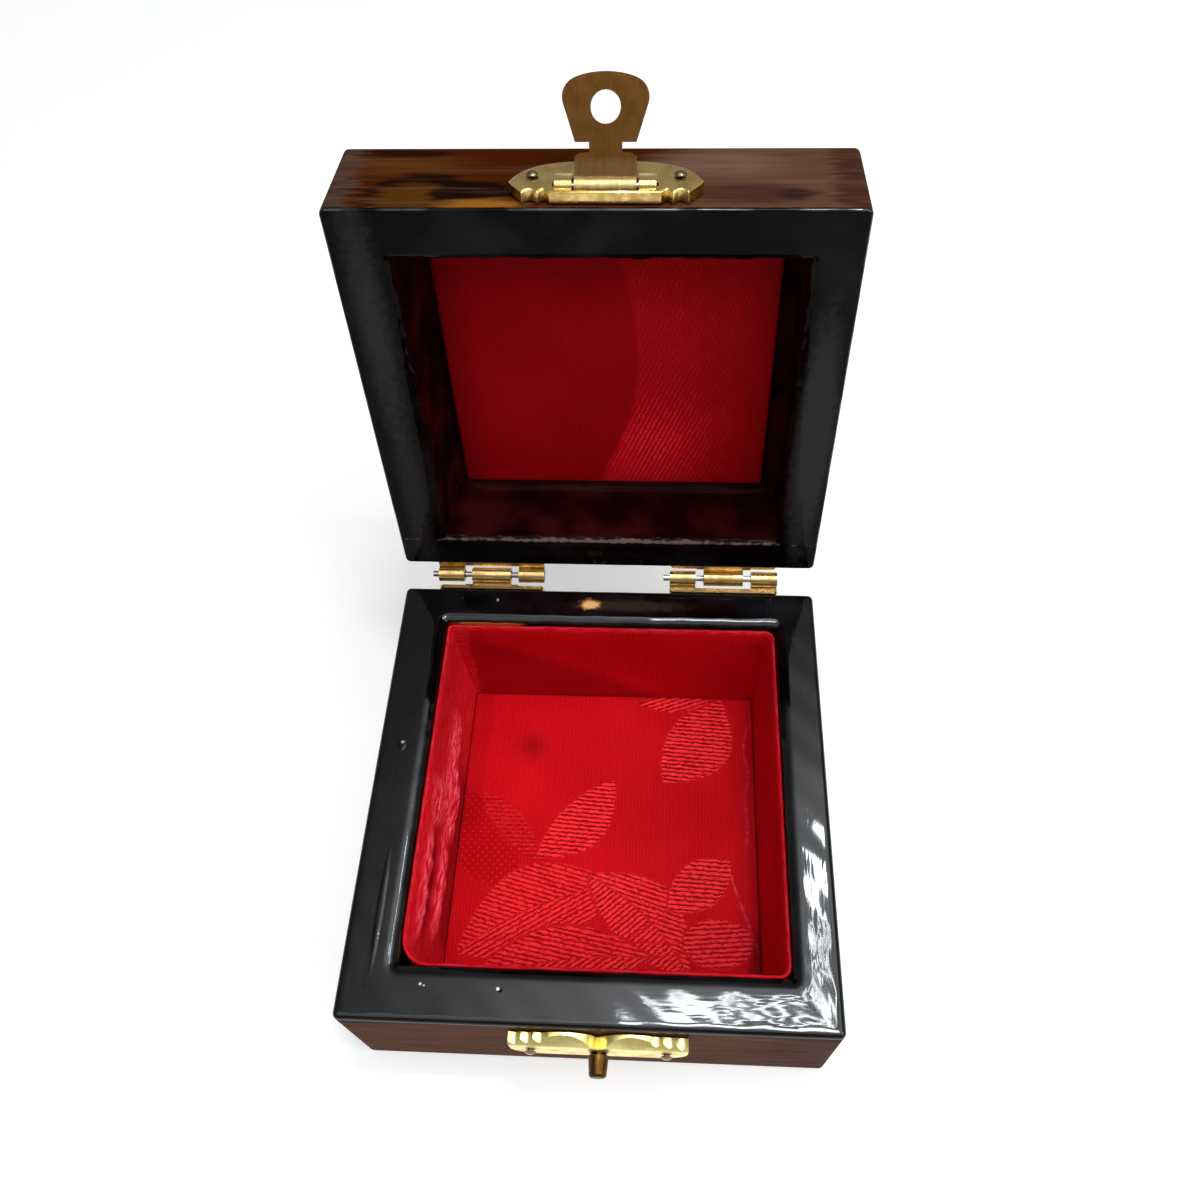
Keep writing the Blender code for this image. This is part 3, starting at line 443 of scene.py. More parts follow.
def rim_lacquer(name, gloss, marks, ridges, streak, polished):
    """Deep black lacquer with grey smears, partly painted reflection, brush ridges along the
    boards, marks of wear and painted reflections, and raised runs.

    A polished rim has a clear coat in patches along its rounded edge, where hands rubbed it.
    """
    material, tree, shader = new_material(name, IOR=1.5, Specular_IOR_Level=gloss)
    flow, where = laid_place(tree), own_place(tree)
    # Grey smears in the colour: partly smudges, partly painted reflection. The same cloud sets the
    # roughness.
    smudge_and_reflection = noise(tree, where, (70, 70, 70), 4, Distortion=0.5)
    reflection_smear = ramped(tree, smudge_and_reflection, 0.42, 0.72)
    colour = mixed(tree, reflection_smear, (0.0016, 0.001, 0.0012), (0.0085, 0.008, 0.0095))
    colour = marked(tree, where, colour, marks)
    feed(tree, shader.inputs, Base_Color=colour, Roughness=times_plus(tree, smudge_and_reflection, 0.07, 0.015))
    brushed = noise(tree, flow, (55, 1150, 1), 1)
    cells = noise(tree, flow, (150, 520, 1), 2, Distortion=0.7)
    waves = noise(tree, flow, (40, 120, 1), 1)
    layers = [(brushed, streak * 0.008 * MM), (cells, streak * 0.014 * MM), (waves, 0.035 * MM)]
    for centre, size, height in ridges:
        layers.append((soft_spot(tree, where, centre, size, 1.2, 0.2), height))
    bump(tree, shader, *layers)
    if polished:
        rounded = math_node(tree, "SUBTRACT", 1, ramped(tree, kept_number(tree, "rim"), 0.9, 1))
        patchy = ramped(tree, noise(tree, flow, (130, 200, 1), 2), 0.4, 0.62)
        feed(tree, shader.inputs, Coat_Weight=product(tree, rounded, patchy))
    return material


# %% [markdown]
# On the faces the lacquer is thin enough to show brown figured wood: dark arcs where the
# growth rings are cut, amber between them, and fine pores along the board. Noise stretched
# along the board makes them. Marks painted on a face are drawn out along the grain by the
# same kind of noise, and thin silver streaks lie over them, where light catches the grain.
# The well's walls have the same lacquer over a maroon stain.

# %% Figured wood under lacquer
def wood_figure(tree, flow, tone, grain):
    """Brown figured wood: dark bent rings stretched along the board, with fine pores."""
    moved = vector_sum(tree, "ADD", flow, (tone, 0.3 * tone, 0))
    warp = noise(tree, moved, (32, 95, 1), 1.5, Distortion=0.7)
    bands = math_node(tree, "SINE", product(tree, warp, 26))
    warm = noise(tree, moved, (22, 70, 1), 1)
    warmed = ramped(tree, warm, 0.38, 0.66)
    ground = mixed(tree, warmed, (0.02, 0.0046, 0.0012), (0.105, 0.031, 0.005))
    dark = product(tree, ramped(tree, bands, 0, 0.95), 0.6)
    ground = mixed(tree, dark, ground, (0.011, 0.0026, 0.001))
    pores = noise(tree, flow, (90, 2100, 1), 3)
    return ground, product(tree, ramped(tree, pores, 0.44, 0.7), grain)


def face_lacquer(name, tone, grain, coat, face_marks, well_marks):
    """Wood under thin lacquer outside, maroon stain in the well, and black bleeding off the rim.

    The lacquer is a thin coat, since most of it soaked into the wood.
    """
    material, tree, shader = new_material(name, Specular_IOR_Level=0, Coat_Roughness=0.06)
    flow, where = laid_place(tree), own_place(tree)
    colour, pores = wood_figure(tree, flow, tone, grain)
    drift = times_plus(tree, noise(tree, flow, (70, 1100, 1)), 10 * MM, -5 * MM)
    sway = times_plus(tree, noise(tree, flow, (45, 260, 1)), 3.4 * MM, -1.7 * MM)
    drawn = place(tree, "CombineXYZ", drift, sway, 0).outputs[0]
    colour = marked(tree, vector_sum(tree, "ADD", flow, drawn), colour, face_marks)
    silver = ramped(tree, noise(tree, flow, (26, 620, 1), 3), 0.46, 0.74)
    colour = mixed(tree, product(tree, silver, 0.3), colour, (0.15, 0.078, 0.05))
    colour = mixed(tree, pores, colour, (0.008, 0.0025, 0.0015))
    ragged = noise(tree, flow, (300, 900, 1), 2)
    bleed = times_plus(tree, ragged, 0.35, kept_number(tree, "rim"))
    colour = mixed(tree, ramped(tree, bleed, 0.55, 0.7), colour, (0.004, 0.0022, 0.0018))
    cloud = ramped(tree, noise(tree, where, (110, 110, 110), 3), 0.35, 0.7)
    stain = mixed(tree, cloud, (0.008, 0.0008, 0.0012), (0.036, 0.0034, 0.0034))
    in_well = ramped(tree, kept_number(tree, "inner"), 0.5, 1)
    colour = mixed(tree, in_well, colour, marked(tree, where, stain, well_marks))
    brushed = noise(tree, flow, (60, 700, 1), 3)
    feed(tree, shader.inputs, Base_Color=colour, Coat_Weight=product(tree, brushed, coat))
    waves = noise(tree, flow, (70, 180, 1), 1)
    bump(tree, shader, (brushed, 0.016 * MM), (waves, 0.1 * MM))
    return material


# %% [markdown]
# Both halves are made alike: the grid is given its place on the boards, becomes a mesh, and
# takes the face's lacquer outside and in the well, and the rim's lacquer in between.

# %% Making one half
def dressed_case(half, table, laid, grid, panel, face, rim):
    """Make one half from its rows, its grid as laid out rim up, and its grid in place."""
    columns = grid.shape[1]
    shares = {"rim": table[:, 4].repeat(columns), "inner": table[:, 5].repeat(columns)}
    case = surface(half + "_case", grid, caps=(0, -1), laid=laid, flow=board_flow(laid),
                   shares=shares)
    parts = ["front_board", "back_board", "left_board", "right_board", panel + "_panel"]
    dress(case, half, "lacquered_wood", [half + "_" + part for part in parts], face, rim)
    rim_kinds(case, table, columns)


# %% [markdown]
# The base half: its foot is rounded by 2.3 mm. Its rim carries pinholes left by bubbles, a run
# of lacquer near the left edge, and behind the well a spot rubbed through to the wood. Bare
# wood shows above the silk at the back left.

# %% Base half
BASE_MARKS = (
    ((4.5, 34.2, 28.5), (8.5, 1, 2), 1.2, 0.9, 0.55, (0.04, 0.028, 0.022)),
    ((-3.2, 34.4, 28.5), (1.9, 1.15, 2), 0.6, 1.2, 1, (0.34, 0.12, 0.028)),
    ((-3.1, 34.3, 28.5), (1.4, 0.85, 2), 0.6, 1, 1, (0.72, 0.42, 0.17)),
    ((-25.3, -32.2, 28.5), (0.22, 0.2, 1), 0.8, 0, 1, (0.6, 0.6, 0.58)),
    ((-24.7, -32.4, 28.5), (0.14, 0.12, 1), 0.8, 0, 1, (0.6, 0.6, 0.58)),
    ((-13.5, -32.5, 28.5), (0.24, 0.24, 1), 0.8, 0, 1, (0.7, 0.7, 0.7)),
    ((-33.9, 6.4, 28.5), (0.3, 0.25, 1), 0.8, 0.3, 1, (0.35, 0.36, 0.36)),
    ((-20.4, 35, 28.5), (0.22, 0.3, 1), 0.8, 0, 0.8, (0.4, 0.3, 0.22)),
)
BASE_RIDGES = (
    ((-33.2, -21.5, 28.5), (0.42, 6.5, 2), 0.07 * MM),
    ((-33.9, 5.8, 28.5), (0.5, 0.8, 2), 0.06 * MM),
    ((-13.2, -32.6, 28.5), (0.3, 0.3, 2), -0.05 * MM),
)
BASE_FACE_MARKS = (
    ((600, 15, 0), (46, 17, 1), 0.3, 0, 0.75, (0.165, 0.058, 0.024)),
    ((634, 15, 0), (8, 16, 1), 0.9, 0, 0.5, (0.06, 0.014, 0.006)),
)
WELL_MARKS = (
    ((-22, 30.7, 27.2), (6.5, 2, 0.85), 0.5, 0.8, 1, (0.62, 0.2, 0.04)),
    ((-30, -26.5, 27), (2, 2.2, 2), 0.5, 0.6, 0.8, (0.1, 0.06, 0.03)),
)
base_rim = rim_lacquer("base_rim_lacquer", 0.28, BASE_MARKS, BASE_RIDGES, 1, False)
base_face = face_lacquer("base_face_lacquer", 0.7, 0.6, 0.14, BASE_FACE_MARKS, WELL_MARKS)
BASE_FOOT_RADIUS, BASE_RIM_RADIUS, BASE_LIP_WIDTH = 2.3 * MM, 0.8 * MM, 1.8 * MM
base_table = case_rows(BASE_HEIGHT, BASE_FOOT_RADIUS, BASE_RIM_RADIUS, BASE_LIP_WIDTH,
                       BASE_HEIGHT - FLOOR_TOP)
base_grid = case_grid(base_table, BASE_HEIGHT, (0.16 * MM, 0.13 * MM))
dressed_case("base", base_table, base_grid, base_grid, "floor", base_face, base_rim)

# %% [markdown]
# The lid half is the same skin with a sharper outer edge and a shallower well. It is built
# rim up, turned over onto the base, and then swung open. Its front board shows a knot's dark
# arcs, which are placed one by one as ovals painted over each other, dark and amber in turn.

# %% Lid half
FRONT_START = 600
FRONT_HEIGHT = 46.2
DARK_WOOD = (0.0085, 0.0022, 0.0008)
LID_FACE_FIGURE_AND_GLINT = tuple(
    ((FRONT_START + x, FRONT_HEIGHT - z, 0), (wide, tall, 1), softness, 0, strength, shade)
    for x, z, wide, tall, softness, strength, shade in (
        (-12, 38, 30, 14, 0.3, 1, (0.052, 0.0084, 0.0008)),
        # Painted reflection: a grey streak of glints at the left end of the face.
        (-36.2, 38, 2.2, 12, 0.8, 0.8, (0.062, 0.04, 0.03)),
        (30, 38, 21, 14, 0.5, 1, (0.1, 0.045, 0.026)),
        (17, 41, 9, 3.6, 0.9, 0.8, (0.15, 0.082, 0.056)),
        (36.5, 38, 3, 12, 0.8, 0.7, (0.034, 0.009, 0.005)),
        (-27, 40.6, 8, 2.6, 1, 0.9, (0.08, 0.024, 0.0024)),
        (-28, 44.2, 6.5, 1.2, 0.8, 0.8, DARK_WOOD),
        (-24, 31, 8.6, 7.4, 0.22, 0.95, DARK_WOOD),
        (-24.6, 30, 6.6, 5.4, 0.5, 0.9, (0.085, 0.026, 0.0026)),
        (-17, 33, 6.2, 3.5, 0.3, 0.95, DARK_WOOD),
        (-15.4, 30, 5.6, 1.7, 0.9, 1, (0.27, 0.095, 0.008)),
        (21, 33, 9, 2.4, 0.7, 0.8, (0.05, 0.014, 0.01)),
        (27.5, 32.6, 3, 1.2, 0.8, 0.8, (0.02, 0.008, 0.01)),
    ))
# The first four rows are painted reflections: grey streaks on the side rims. The last row is a
# painted reflection: a pale line along the inner lip of the back board. The rest are brown, tan and
# grey marks on the back rim.
LID_RIM_WEAR_AND_REFLECTIONS = (
    ((-33.8, 52, 84), (2.4, 9, 23), 1.3, 0.9, 0.75, (0.034, 0.032, 0.035)),
    ((-33.6, 47, 48), (2, 9, 22), 1.3, 0.9, 0.6, (0.03, 0.026, 0.028)),
    ((34.4, 48, 58), (3.2, 9, 30), 0.6, 0.5, 0.7, (0.034, 0.034, 0.037)),
    ((29, 56, 109.5), (3.6, 9, 1.6), 1.1, 0.8, 0.6, (0.042, 0.044, 0.052)),
    ((0, 45.1, 34), (33, 3, 3), 0.8, 0.8, 0.8, (0.034, 0.011, 0.007)),
    ((-2.8, 45.1, 32.4), (3.4, 3, 1.1), 0.9, 1.3, 0.9, (0.42, 0.29, 0.19)),
    ((9, 45.1, 33), (9, 3, 0.9), 1, 1, 0.5, (0.05, 0.04, 0.036)),
    ((0.5, 42, 38.1), (27, 1.8, 0.24), 1, 2.4, 0.4, (0.3, 0.19, 0.16)),
)
LID_RIDGES = (
    ((-34.9, 47, 112), (0.6, 9, 4.5), 0.05 * MM),
)
lid_rim = rim_lacquer("lid_rim_lacquer", 0.045, LID_RIM_WEAR_AND_REFLECTIONS, LID_RIDGES, 1.6, True)
lid_face = face_lacquer("lid_face_lacquer", 0.15, 0.22, 0.07, LID_FACE_FIGURE_AND_GLINT, ())
LID_TOP_RADIUS, LID_RIM_RADIUS, LID_LIP_WIDTH = 0.6 * MM, 0.45 * MM, 1 * MM
lid_table = case_rows(LID_HEIGHT, LID_TOP_RADIUS, LID_RIM_RADIUS, LID_LIP_WIDTH, CEILING_DEPTH)
lid_grid = case_grid(lid_table, LID_HEIGHT, (0.35 * MM, 0.3 * MM))
turned_over = lid_grid * (1, 1, -1) + np.array([0, 0, LID_RIM + LID_HEIGHT])
dressed_case("lid", lid_table, lid_grid, opened(turned_over), "top", lid_face, lid_rim)

# %% [markdown]
# The lining is red damask silk: a fine rib runs through the whole cloth, and leaves and petals
# are woven into it with longer floats, which catch more light. Where a petal lies, and which
# way its floats run, is worked out for every point of the cloth from a short list of leaves.

# %% Damask leaves
# start, end, width, bend, fullness, float angle on its left and on its right, shine, dots
LEAVES = (
    ((-29.5, 8), (-15.8, -11), 12.5, 0, 0.7, 35, 35, 0, 1),
    ((-23.5, 7.2), (-11.9, -5.6), 6, 0.6, 0.7, 0, 0, 0.25, 1),
    ((-12.2, -4.9), (1.8, 10.2), 9.4, -1.5, 0.75, -4, -4, 0.9, 0),
    ((10.8, 9.9), (22, 27.8), 13, -1.6, 0.8, -4, -4, 1, 0),
    ((4.5, 26.4), (21.5, 27.4), 4.4, -0.5, 1, 20, 20, 0.9, 0),
    ((-25, -22), (3.4, -9.2), 15.5, 2.2, 0.8, -14, 31, 0.7, 0),
    ((-2.5, -7.6), (15.8, -24.5), 13, 2, 0.8, -16, 40, 0.85, 0),
    ((-22.5, -26.5), (9.5, -21.5), 12, 1.5, 0.8, -10, 34, 0.75, 0),
    ((12, -13.4), (23.4, -4.4), 9, 0, 0.7, -3, -3, 1, 0),
    ((14.6, -19), (27, -18.8), 9, 0, 0.4, 5, 5, 0.85, 0.3),
)


def climb(value, start, width):
    """A straight climb from 0 at the start to 1 a width further on."""
    return np.clip((value - start) / width, 0, 1)


def woven_leaves(x, y, leaves):
    """Brightness, dots and float direction of the damask at each place, in millimetres.

    A leaf from a to b with a width w covers the places whose distance from its bent middle
    line is under w / 2 times sin(pi t)^fullness, where t runs from 0 at a to 1 at b. Its
    middle line is off the line a b by bend times sin(pi t), and its edge is frayed. A leaf
    that lies over another is drawn apart from it by a plain gap of half a millimetre.
    """
    bright, dots, slant = np.zeros((3, *x.shape))
    fray = 0.22 * ripple((x - 0.4 * y, 1.13, 0.3), (y + 0.3 * x, 0.87, 1), (x + y, 2.3, 2))
    for start, end, width, bend, fullness, left, right, shine, dotted in leaves:
        way = np.subtract(end, start)
        length = np.linalg.norm(way)
        t = np.clip(((x - start[0]) * way[0] + (y - start[1]) * way[1]) / length ** 2, 0, 1)
        arch = np.sin(np.pi * t)
        side = ((y - start[1]) * way[0] - (x - start[0]) * way[1]) / length - bend * arch
        within = width / 2 * arch ** fullness + fray - 0.15 - np.abs(side)
        cover = climb(within, 0, 0.3)
        bright = bright * (1 - climb(within, -0.45, 0.3) * 0.9) + cover * shine
        dots = dots * (1 - cover) + cover * dotted
        slant = np.where(cover > 0.5, np.radians(np.where(side > 0, left, right)), slant)
    return {"petal": bright, "dots": dots, "slant": slant}


# %% [markdown]
# The silk's material reads the place on the cloth from its own map. The rib is a sine across
# the cloth. In a petal the floats are a second sine in their own direction, broken into
# dashes by noise. Named numbers on the cloth paint a highlight on a crest, and paint shade in
# a crease, beside a wall and over the lid's panel. They also make the wall's top edge paler,
# and darken a stain on the floor.

# %% Silk
# millimetres from one rib, float or knot to the next
RIB, FLOAT, KNOT = 0.6, 0.8, 1.5
silk, tree, shader = new_material("red_silk", Specular_IOR_Level=0.03, Sheen_Weight=0.04,
                                  Sheen_Roughness=0.5, Sheen_Tint=(1, 0.04, 0.06, 1))
cloth = vector_sum(tree, "MULTIPLY", laid_place(tree), (1 / MM,) * 3)
across, along, _ = place(tree, "SeparateXYZ", cloth).outputs
petal, dots, slant, highlight_and_pale_edge, shade_and_stain = (kept_number(tree, name)
                                 for name in ("petal", "dots", "slant", "highlight_and_pale_edge", "shade_and_stain"))
wander = noise(tree, cloth, (0.9, 1.7, 1))
rib_turn = times_plus(tree, across, 2 * math.pi / RIB, product(tree, wander, 7))
speckle = noise(tree, cloth, (3.4, 2.6, 1), 2)
rib = times_plus(tree, math_node(tree, "SINE", rib_turn), 0.17, speckle)
floats_at = math_node(tree, "SUBTRACT", product(tree, along, math_node(tree, "COSINE", slant)),
                      product(tree, across, math_node(tree, "SINE", slant)))
float_turn = times_plus(tree, floats_at, 2 * math.pi / FLOAT, product(tree, wander, 5.5))
broken = ramped(tree, noise(tree, cloth, (1.1, 2.4, 1), 1), 0.26, 0.52)
floats = product(tree, ramped(tree, math_node(tree, "SINE", float_turn), -0.7, 0.1),
                 times_plus(tree, broken, 0.72, 0.28))
knots = product(tree, *(math_node(tree, "SINE", product(tree, way, 2 * math.pi / KNOT))
                        for way in (across, along)))
knots = product(tree, ramped(tree, knots, 0.45, 0.85), dots)
slub = ramped(tree, noise(tree, cloth, (2.6, 0.16, 1), 3), 0.4, 0.7)
bloom = ramped(tree, noise(tree, cloth, (0.055, 0.06, 1), 1), 0.4, 0.7)
ground = mixed(tree, rib, (0.33, 0.0006, 0.0036), (0.7, 0.004, 0.011))
ground = mixed(tree, product(tree, slub, 0.3), ground, (0.38, 0.0006, 0.003))
ground = mixed(tree, product(tree, bloom, 0.28), ground, (0.74, 0.007, 0.016))
ground = mixed(tree, product(tree, dots, 0.55), ground, (0.34, 0.0002, 0.0022))
ground = mixed(tree, knots, ground, (0.66, 0.005, 0.011))
floated = mixed(tree, floats, (0.26, 0.0004, 0.0026), (1, 0.03, 0.042))
silk_colour = mixed(tree, petal, ground, floated)
# Painted highlight: crests of folds and pleats turn a pale crinkled pink, and the wall's top edge is
# paler in the same colour.
crinkled = ramped(tree, noise(tree, cloth, (0.4, 1.7, 1), 4, Distortion=0.5), 0.38, 0.62)
highlight_and_edge_colour = mixed(tree, crinkled, (0.62, 0.008, 0.022), (1, 0.11, 0.15))
silk_colour = mixed(tree, highlight_and_pale_edge, silk_colour, highlight_and_edge_colour)
# Painted shade: creases, walls and the lid's panel darken. On the floor the same darkening also makes
# a stain.
silk_colour = mixed(tree, shade_and_stain, silk_colour, (0.1, 0.0004, 0.003))
feed(tree, shader.inputs, Base_Color=silk_colour, Roughness=times_plus(tree, petal, -0.15, 0.6))
plain_rib = product(tree, rib, math_node(tree, "SUBTRACT", 1, petal))
bump(tree, shader, (plain_rib, 0.018 * MM), (product(tree, floats, petal), 0.035 * MM),
     (product(tree, crinkled, highlight_and_pale_edge), 0.12 * MM))
print("silk rib every", RIB, "mm, floats every", FLOAT, "mm")

# %% [markdown]
# The floor of the well is a card under silk. It is a flat grid whose edge rolls over, with
# slow unevenness where the cloth isn't glued down, a pulled fold at the front right, loose
# puckers along the right wall, and a faint stain near the back. Painted shade darkens the
# cloth beside the right and left walls and beyond the fold, and the crests of the fold and
# the puckers get a painted highlight.

# %% Silk floor
def soft_card(low, high, roll, columns, rows, lumps):
    """A card's top as a height over (x, y): it falls by 1 - sqrt(1 - e^2) over the rolled edge.

    Returns the grid, and the x and y of every point, in millimetres.
    """
    x, y = np.meshgrid(np.linspace(low[0], high[0], columns), np.linspace(low[1], high[1], rows))
    edge = np.minimum(np.minimum(x - low[0], high[0] - x), np.minimum(y - low[1], high[1] - y))
    fall = np.clip(1 - edge / roll, 0, 1)
    z = high[2] - roll * (1 - np.sqrt(1 - fall ** 2)) + lumps(x / MM, y / MM) * (1 - fall)
    return np.stack([x, y, z], axis=-1), x / MM, y / MM


def closed_card(name, top, bottom_height, shares, pose=None):
    """The top grid closed by a flat underside below its edge: side rows fall to the bottom."""
    rows, columns = top.shape[:2]
    index = np.arange(rows * columns).reshape(rows, columns)
    squares = at_corners(index).reshape(-1, 4)
    rim = np.concatenate([index[0, :-1], index[:-1, -1], index[-1, :0:-1], index[:0:-1, 0]])
    lower = np.arange(len(rim)) + rows * columns
    sides = np.stack([rim, lower, np.roll(lower, -1), np.roll(rim, -1)], axis=-1)
    below = top.reshape(-1, 3)[rim]
    below[:, 2] = bottom_height
    points = np.concatenate([top.reshape(-1, 3), below])
    corner = np.concatenate([squares.ravel(), sides.ravel(), lower[::-1]])
    kept = {label: np.concatenate([values.ravel(), values.ravel()[rim]])
            for label, values in shares.items()}
    faces = squares.tolist() + sides.tolist() + [lower[::-1].tolist()]
    placed = points if pose is None else pose(points)
    return outward(name, placed, faces, points[corner, :2], kept)


def near_line(x, y, spine, spread):
    """Closeness to a bent line: exp(-(d / spread)^2) for the distance d to its nearest piece."""
    closest = np.full_like(x, 1e9)
    for (ax, ay), (bx, by) in zip(spine, spine[1:]):
        way_x, way_y = bx - ax, by - ay
        t = np.clip(((x - ax) * way_x + (y - ay) * way_y) / (way_x ** 2 + way_y ** 2), 0, 1)
        closest = np.minimum(closest, np.hypot(x - ax - t * way_x, y - ay - t * way_y))
    return np.exp(-(closest / spread) ** 2)


PULLED_FOLD = ((22.8, -5.2), (24.2, -10), (26.2, -15.5), (28.2, -21))
SHORT_FOLD = ((24.2, -13.6), (25.6, -18.4))
PUCKER = ((27, 22), (26.2, 17), (27.1, 12), (26.2, 7), (26.7, 2), (26.1, -3))


def floor_lumps(x, y):
    """Slow swells of the loose silk a tenth of a millimetre high, and its sharper folds."""
    slow = 0.06 * ripple((x + 0.4 * y, 31, 0.5), (y, 19, 1.2), (x - y, 12, 2.2))
    folds = 0.16 * near_line(x, y, PULLED_FOLD, 0.3) + 0.1 * near_line(x, y, SHORT_FOLD, 0.25)
    return (slow + folds + 0.1 * near_line(x, y, PUCKER, 0.3)) * MM


low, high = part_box("base_lining_floor")
floor_top, x, y = soft_card(low, high, 0.22 * MM, 261, 261, floor_lumps)
floor_shares = woven_leaves(x, y, LEAVES)
# The stain is darker cloth. The tuck beyond the pulled fold and the strips along the right and left
# walls are painted shade, and the crests of the fold and puckers get a painted highlight.
mottle = 0.8 + 0.25 * ripple((x, 1.1, 0), (y, 1.3, 1))
stain = np.exp(-((x + 14.5) / 2.9) ** 2 - ((y - 16.7) / 2.5) ** 2) * mottle
tuck_shade = climb(x - 0.25 * (y + 22), 25.4, 1.5) * climb(-y, 14, 3)
shade = 0.3 * climb(x, 23, 4) + 0.16 * climb(-x, 22.6, 1) * climb(y, -2, 4)
floor_shares["shade_and_stain"] = np.clip(0.55 * stain + 0.45 * tuck_shade + shade, 0, 0.8)
floor_shares["highlight_and_pale_edge"] = (0.55 * near_line(x, y, PULLED_FOLD, 0.22)
                        + 0.25 * near_line(x, y, PUCKER, 0.25))
silk_floor = closed_card("silk_floor", floor_top, low.z, floor_shares)
dress(silk_floor, "base", "silk", ("base_lining_floor",), silk)

# %% [markdown]
# The walls of the well are one strip of silk over card, bent into a ring. The card leans in a
# little towards its foot. On the left wall the cloth has come loose and stands out in
# crumpled pleats, whose crests get a painted highlight, with painted shade in the crease
# between them. Painted shade also darkens the left wall's foot, a diagonal on the back wall
# and the right wall towards its foot. The strip's top edge is painted paler.

# %% Silk wall
WALL_FOOT = FLOOR_TOP + 0.05 * MM
WALL_TOP = BASE_HEIGHT - 1.4 * MM
WALL_THIN = 0.45 * MM
WALL_THICK = 0.9 * MM
WALL_LEAN = 1.62 * MM
WALL_RADII = np.array([2.2, 2, 1.2, 4.6]) * MM
# middle along y and z, half length and half height, all in millimetres
PLEATS = ((-15, 22.6, 9.5, 2), (-1, 20.5, 4, 4.2), (9.5, 14.6, 9, 4),
          (-13, 12.4, 9, 2.3), (1, 11.2, 5, 3.4))


def wall_grid():
    """Rows of the strip: up the back of the card, over its top edge and down the silk face.

    The face leans by lean * d^2 at a share d of the way down, and each pleat on the left wall
    adds a bulge of exp(-((y - middle) / length)^4 - ((z - middle) / height)^2).
    """
    turn = np.linspace(0, np.pi, 7)[1:-1]
    down = np.linspace(0, 1, 49)
    crown = WALL_THIN / 2
    thick = WALL_THIN + (WALL_THICK - WALL_THIN) * climb(down, 0, 0.12) ** 0.5
    insets = np.concatenate([[0, 0], crown * (1 - np.cos(turn)), thick + WALL_LEAN * down ** 2])
    heights = np.concatenate([[WALL_FOOT, WALL_TOP - crown], WALL_TOP - crown + crown * np.sin(turn),
                              WALL_TOP - crown - (WALL_TOP - crown - WALL_FOOT) * down])
    is_face = np.concatenate([np.zeros(2 + len(turn)), np.ones(len(down))])[:, None]
    depth = np.concatenate([np.zeros(2 + len(turn)), down])[:, None]
    start = 0.3 * MM
    flat = np.stack([ring(WELL, start + inset, WALL_RADII) for inset in insets])
    x, y = flat[..., 0] / MM, flat[..., 1] / MM
    z = heights[:, None] / MM + 0 * x
    on_left = climb(WELL[0] / MM + 5.5 - x, 0, 2) * is_face
    wobble = 0.5 * ripple((y, 9, 0.4), (y, 5.1, 2))
    bulge = sum(np.exp(-((y - at) / length) ** 4 - ((z - tall - wobble) / high) ** 2)
                for at, tall, length, high in PLEATS)
    crumple = 0.26 * ripple((y + 0.8 * z, 4.1, 0), (y - 0.5 * z, 2.6, 1), (z, 2.7, 2))
    settle = climb(z, 3.2, 3)
    sag = 0.05 * ripple((x + y, 23, 0.3), (x - y, 11, 1.1)) * np.sin(np.pi * depth)
    push = (on_left * settle * np.clip(bulge, 0, 1.15) * (1.15 + crumple) + sag * is_face) * MM
    flat = flat + inward_way(WELL, start, WALL_RADII) * push[..., None]
    wavy = 0.1 * MM * ripple((x + y, 9, 0.2), (x - y, 5.3, 1.4), (x + y, 2.1, 0.6))
    wavy = wavy * (depth < 0.03)
    fringe = np.clip((insets[:, None] - 0.1 * MM) / (0.3 * MM), 0.2, 1)
    fringe = np.exp(-(depth / 0.018) ** 2) * fringe
    # Painted highlight on the pleats' crests. Below it, painted shade: the crease between pleats, the
    # foot of the left wall, a diagonal on the back wall, and the right wall darker towards its foot.
    highlight_and_pale_edge = on_left * np.clip(bulge * 1.8 - 0.3, 0.12, 1)
    crease_shade = on_left * np.exp(-((z - 17.3 - wobble) / 1.5) ** 2 - ((y + 14) / 8.5) ** 4)
    foot_shade = on_left * climb(wobble - z, -8.6, 1.2) * climb(y, -23, 3) * climb(-y, -12, 4)
    slope = (27 - z) - 0.55 * (x + 27)
    back = is_face * climb(y, 26, 1) * climb(slope + 3 * wobble, 1.5, 3)
    turned = is_face * climb(x, 27, 1)
    shade_and_stain = 0.75 * crease_shade + 0.55 * foot_shade + 0.42 * back * (x > -26) + 0.1 * turned * depth
    shade_and_stain = np.clip(shade_and_stain, 0, 0.8)
    grid = np.concatenate([flat, (heights[:, None] + wavy)[..., None]], axis=-1)
    return grid, {"highlight_and_pale_edge": np.maximum(highlight_and_pale_edge, 0.26 * fringe + 0 * x), "shade_and_stain": shade_and_stain}


def strip_flow(grid):
    """Map of the strip: the way round its top edge, and the way over its profile."""
    columns = grid.shape[1]
    looped = np.pad(grid, ((0, 1), (0, 1), (0, 0)), mode="wrap")
    round_way = way_along(looped[2])
    over_way = way_along(looped[:, columns // 8])
    laid = np.stack(np.meshgrid(round_way, over_way), axis=-1)
    return at_corners(laid), (round_way[-1], over_way[-1] / 2)


wall_points, wall_shares = wall_grid()
wall_flow, wall_cut = strip_flow(wall_points)
silk_wall = surface("silk_wall", wall_points, is_tube=True, flow=wall_flow, shares=wall_shares)
dress(silk_wall, "base", "silk", ("base_lining_band",), silk)
print("wall strip cut", [round(side / MM, 1) for side in wall_cut])

# %% [markdown]
# The lid's panel is a padded card glued to the ceiling. It is built closed, face down, and
# swung open with the lid. Left of a curved seam its weave is smooth, and right of it slanted
# floats show, most near the hinges, where a painted sheen also lightens them. Painted shade
# darkens the rest of the panel, most at its left and right edges.

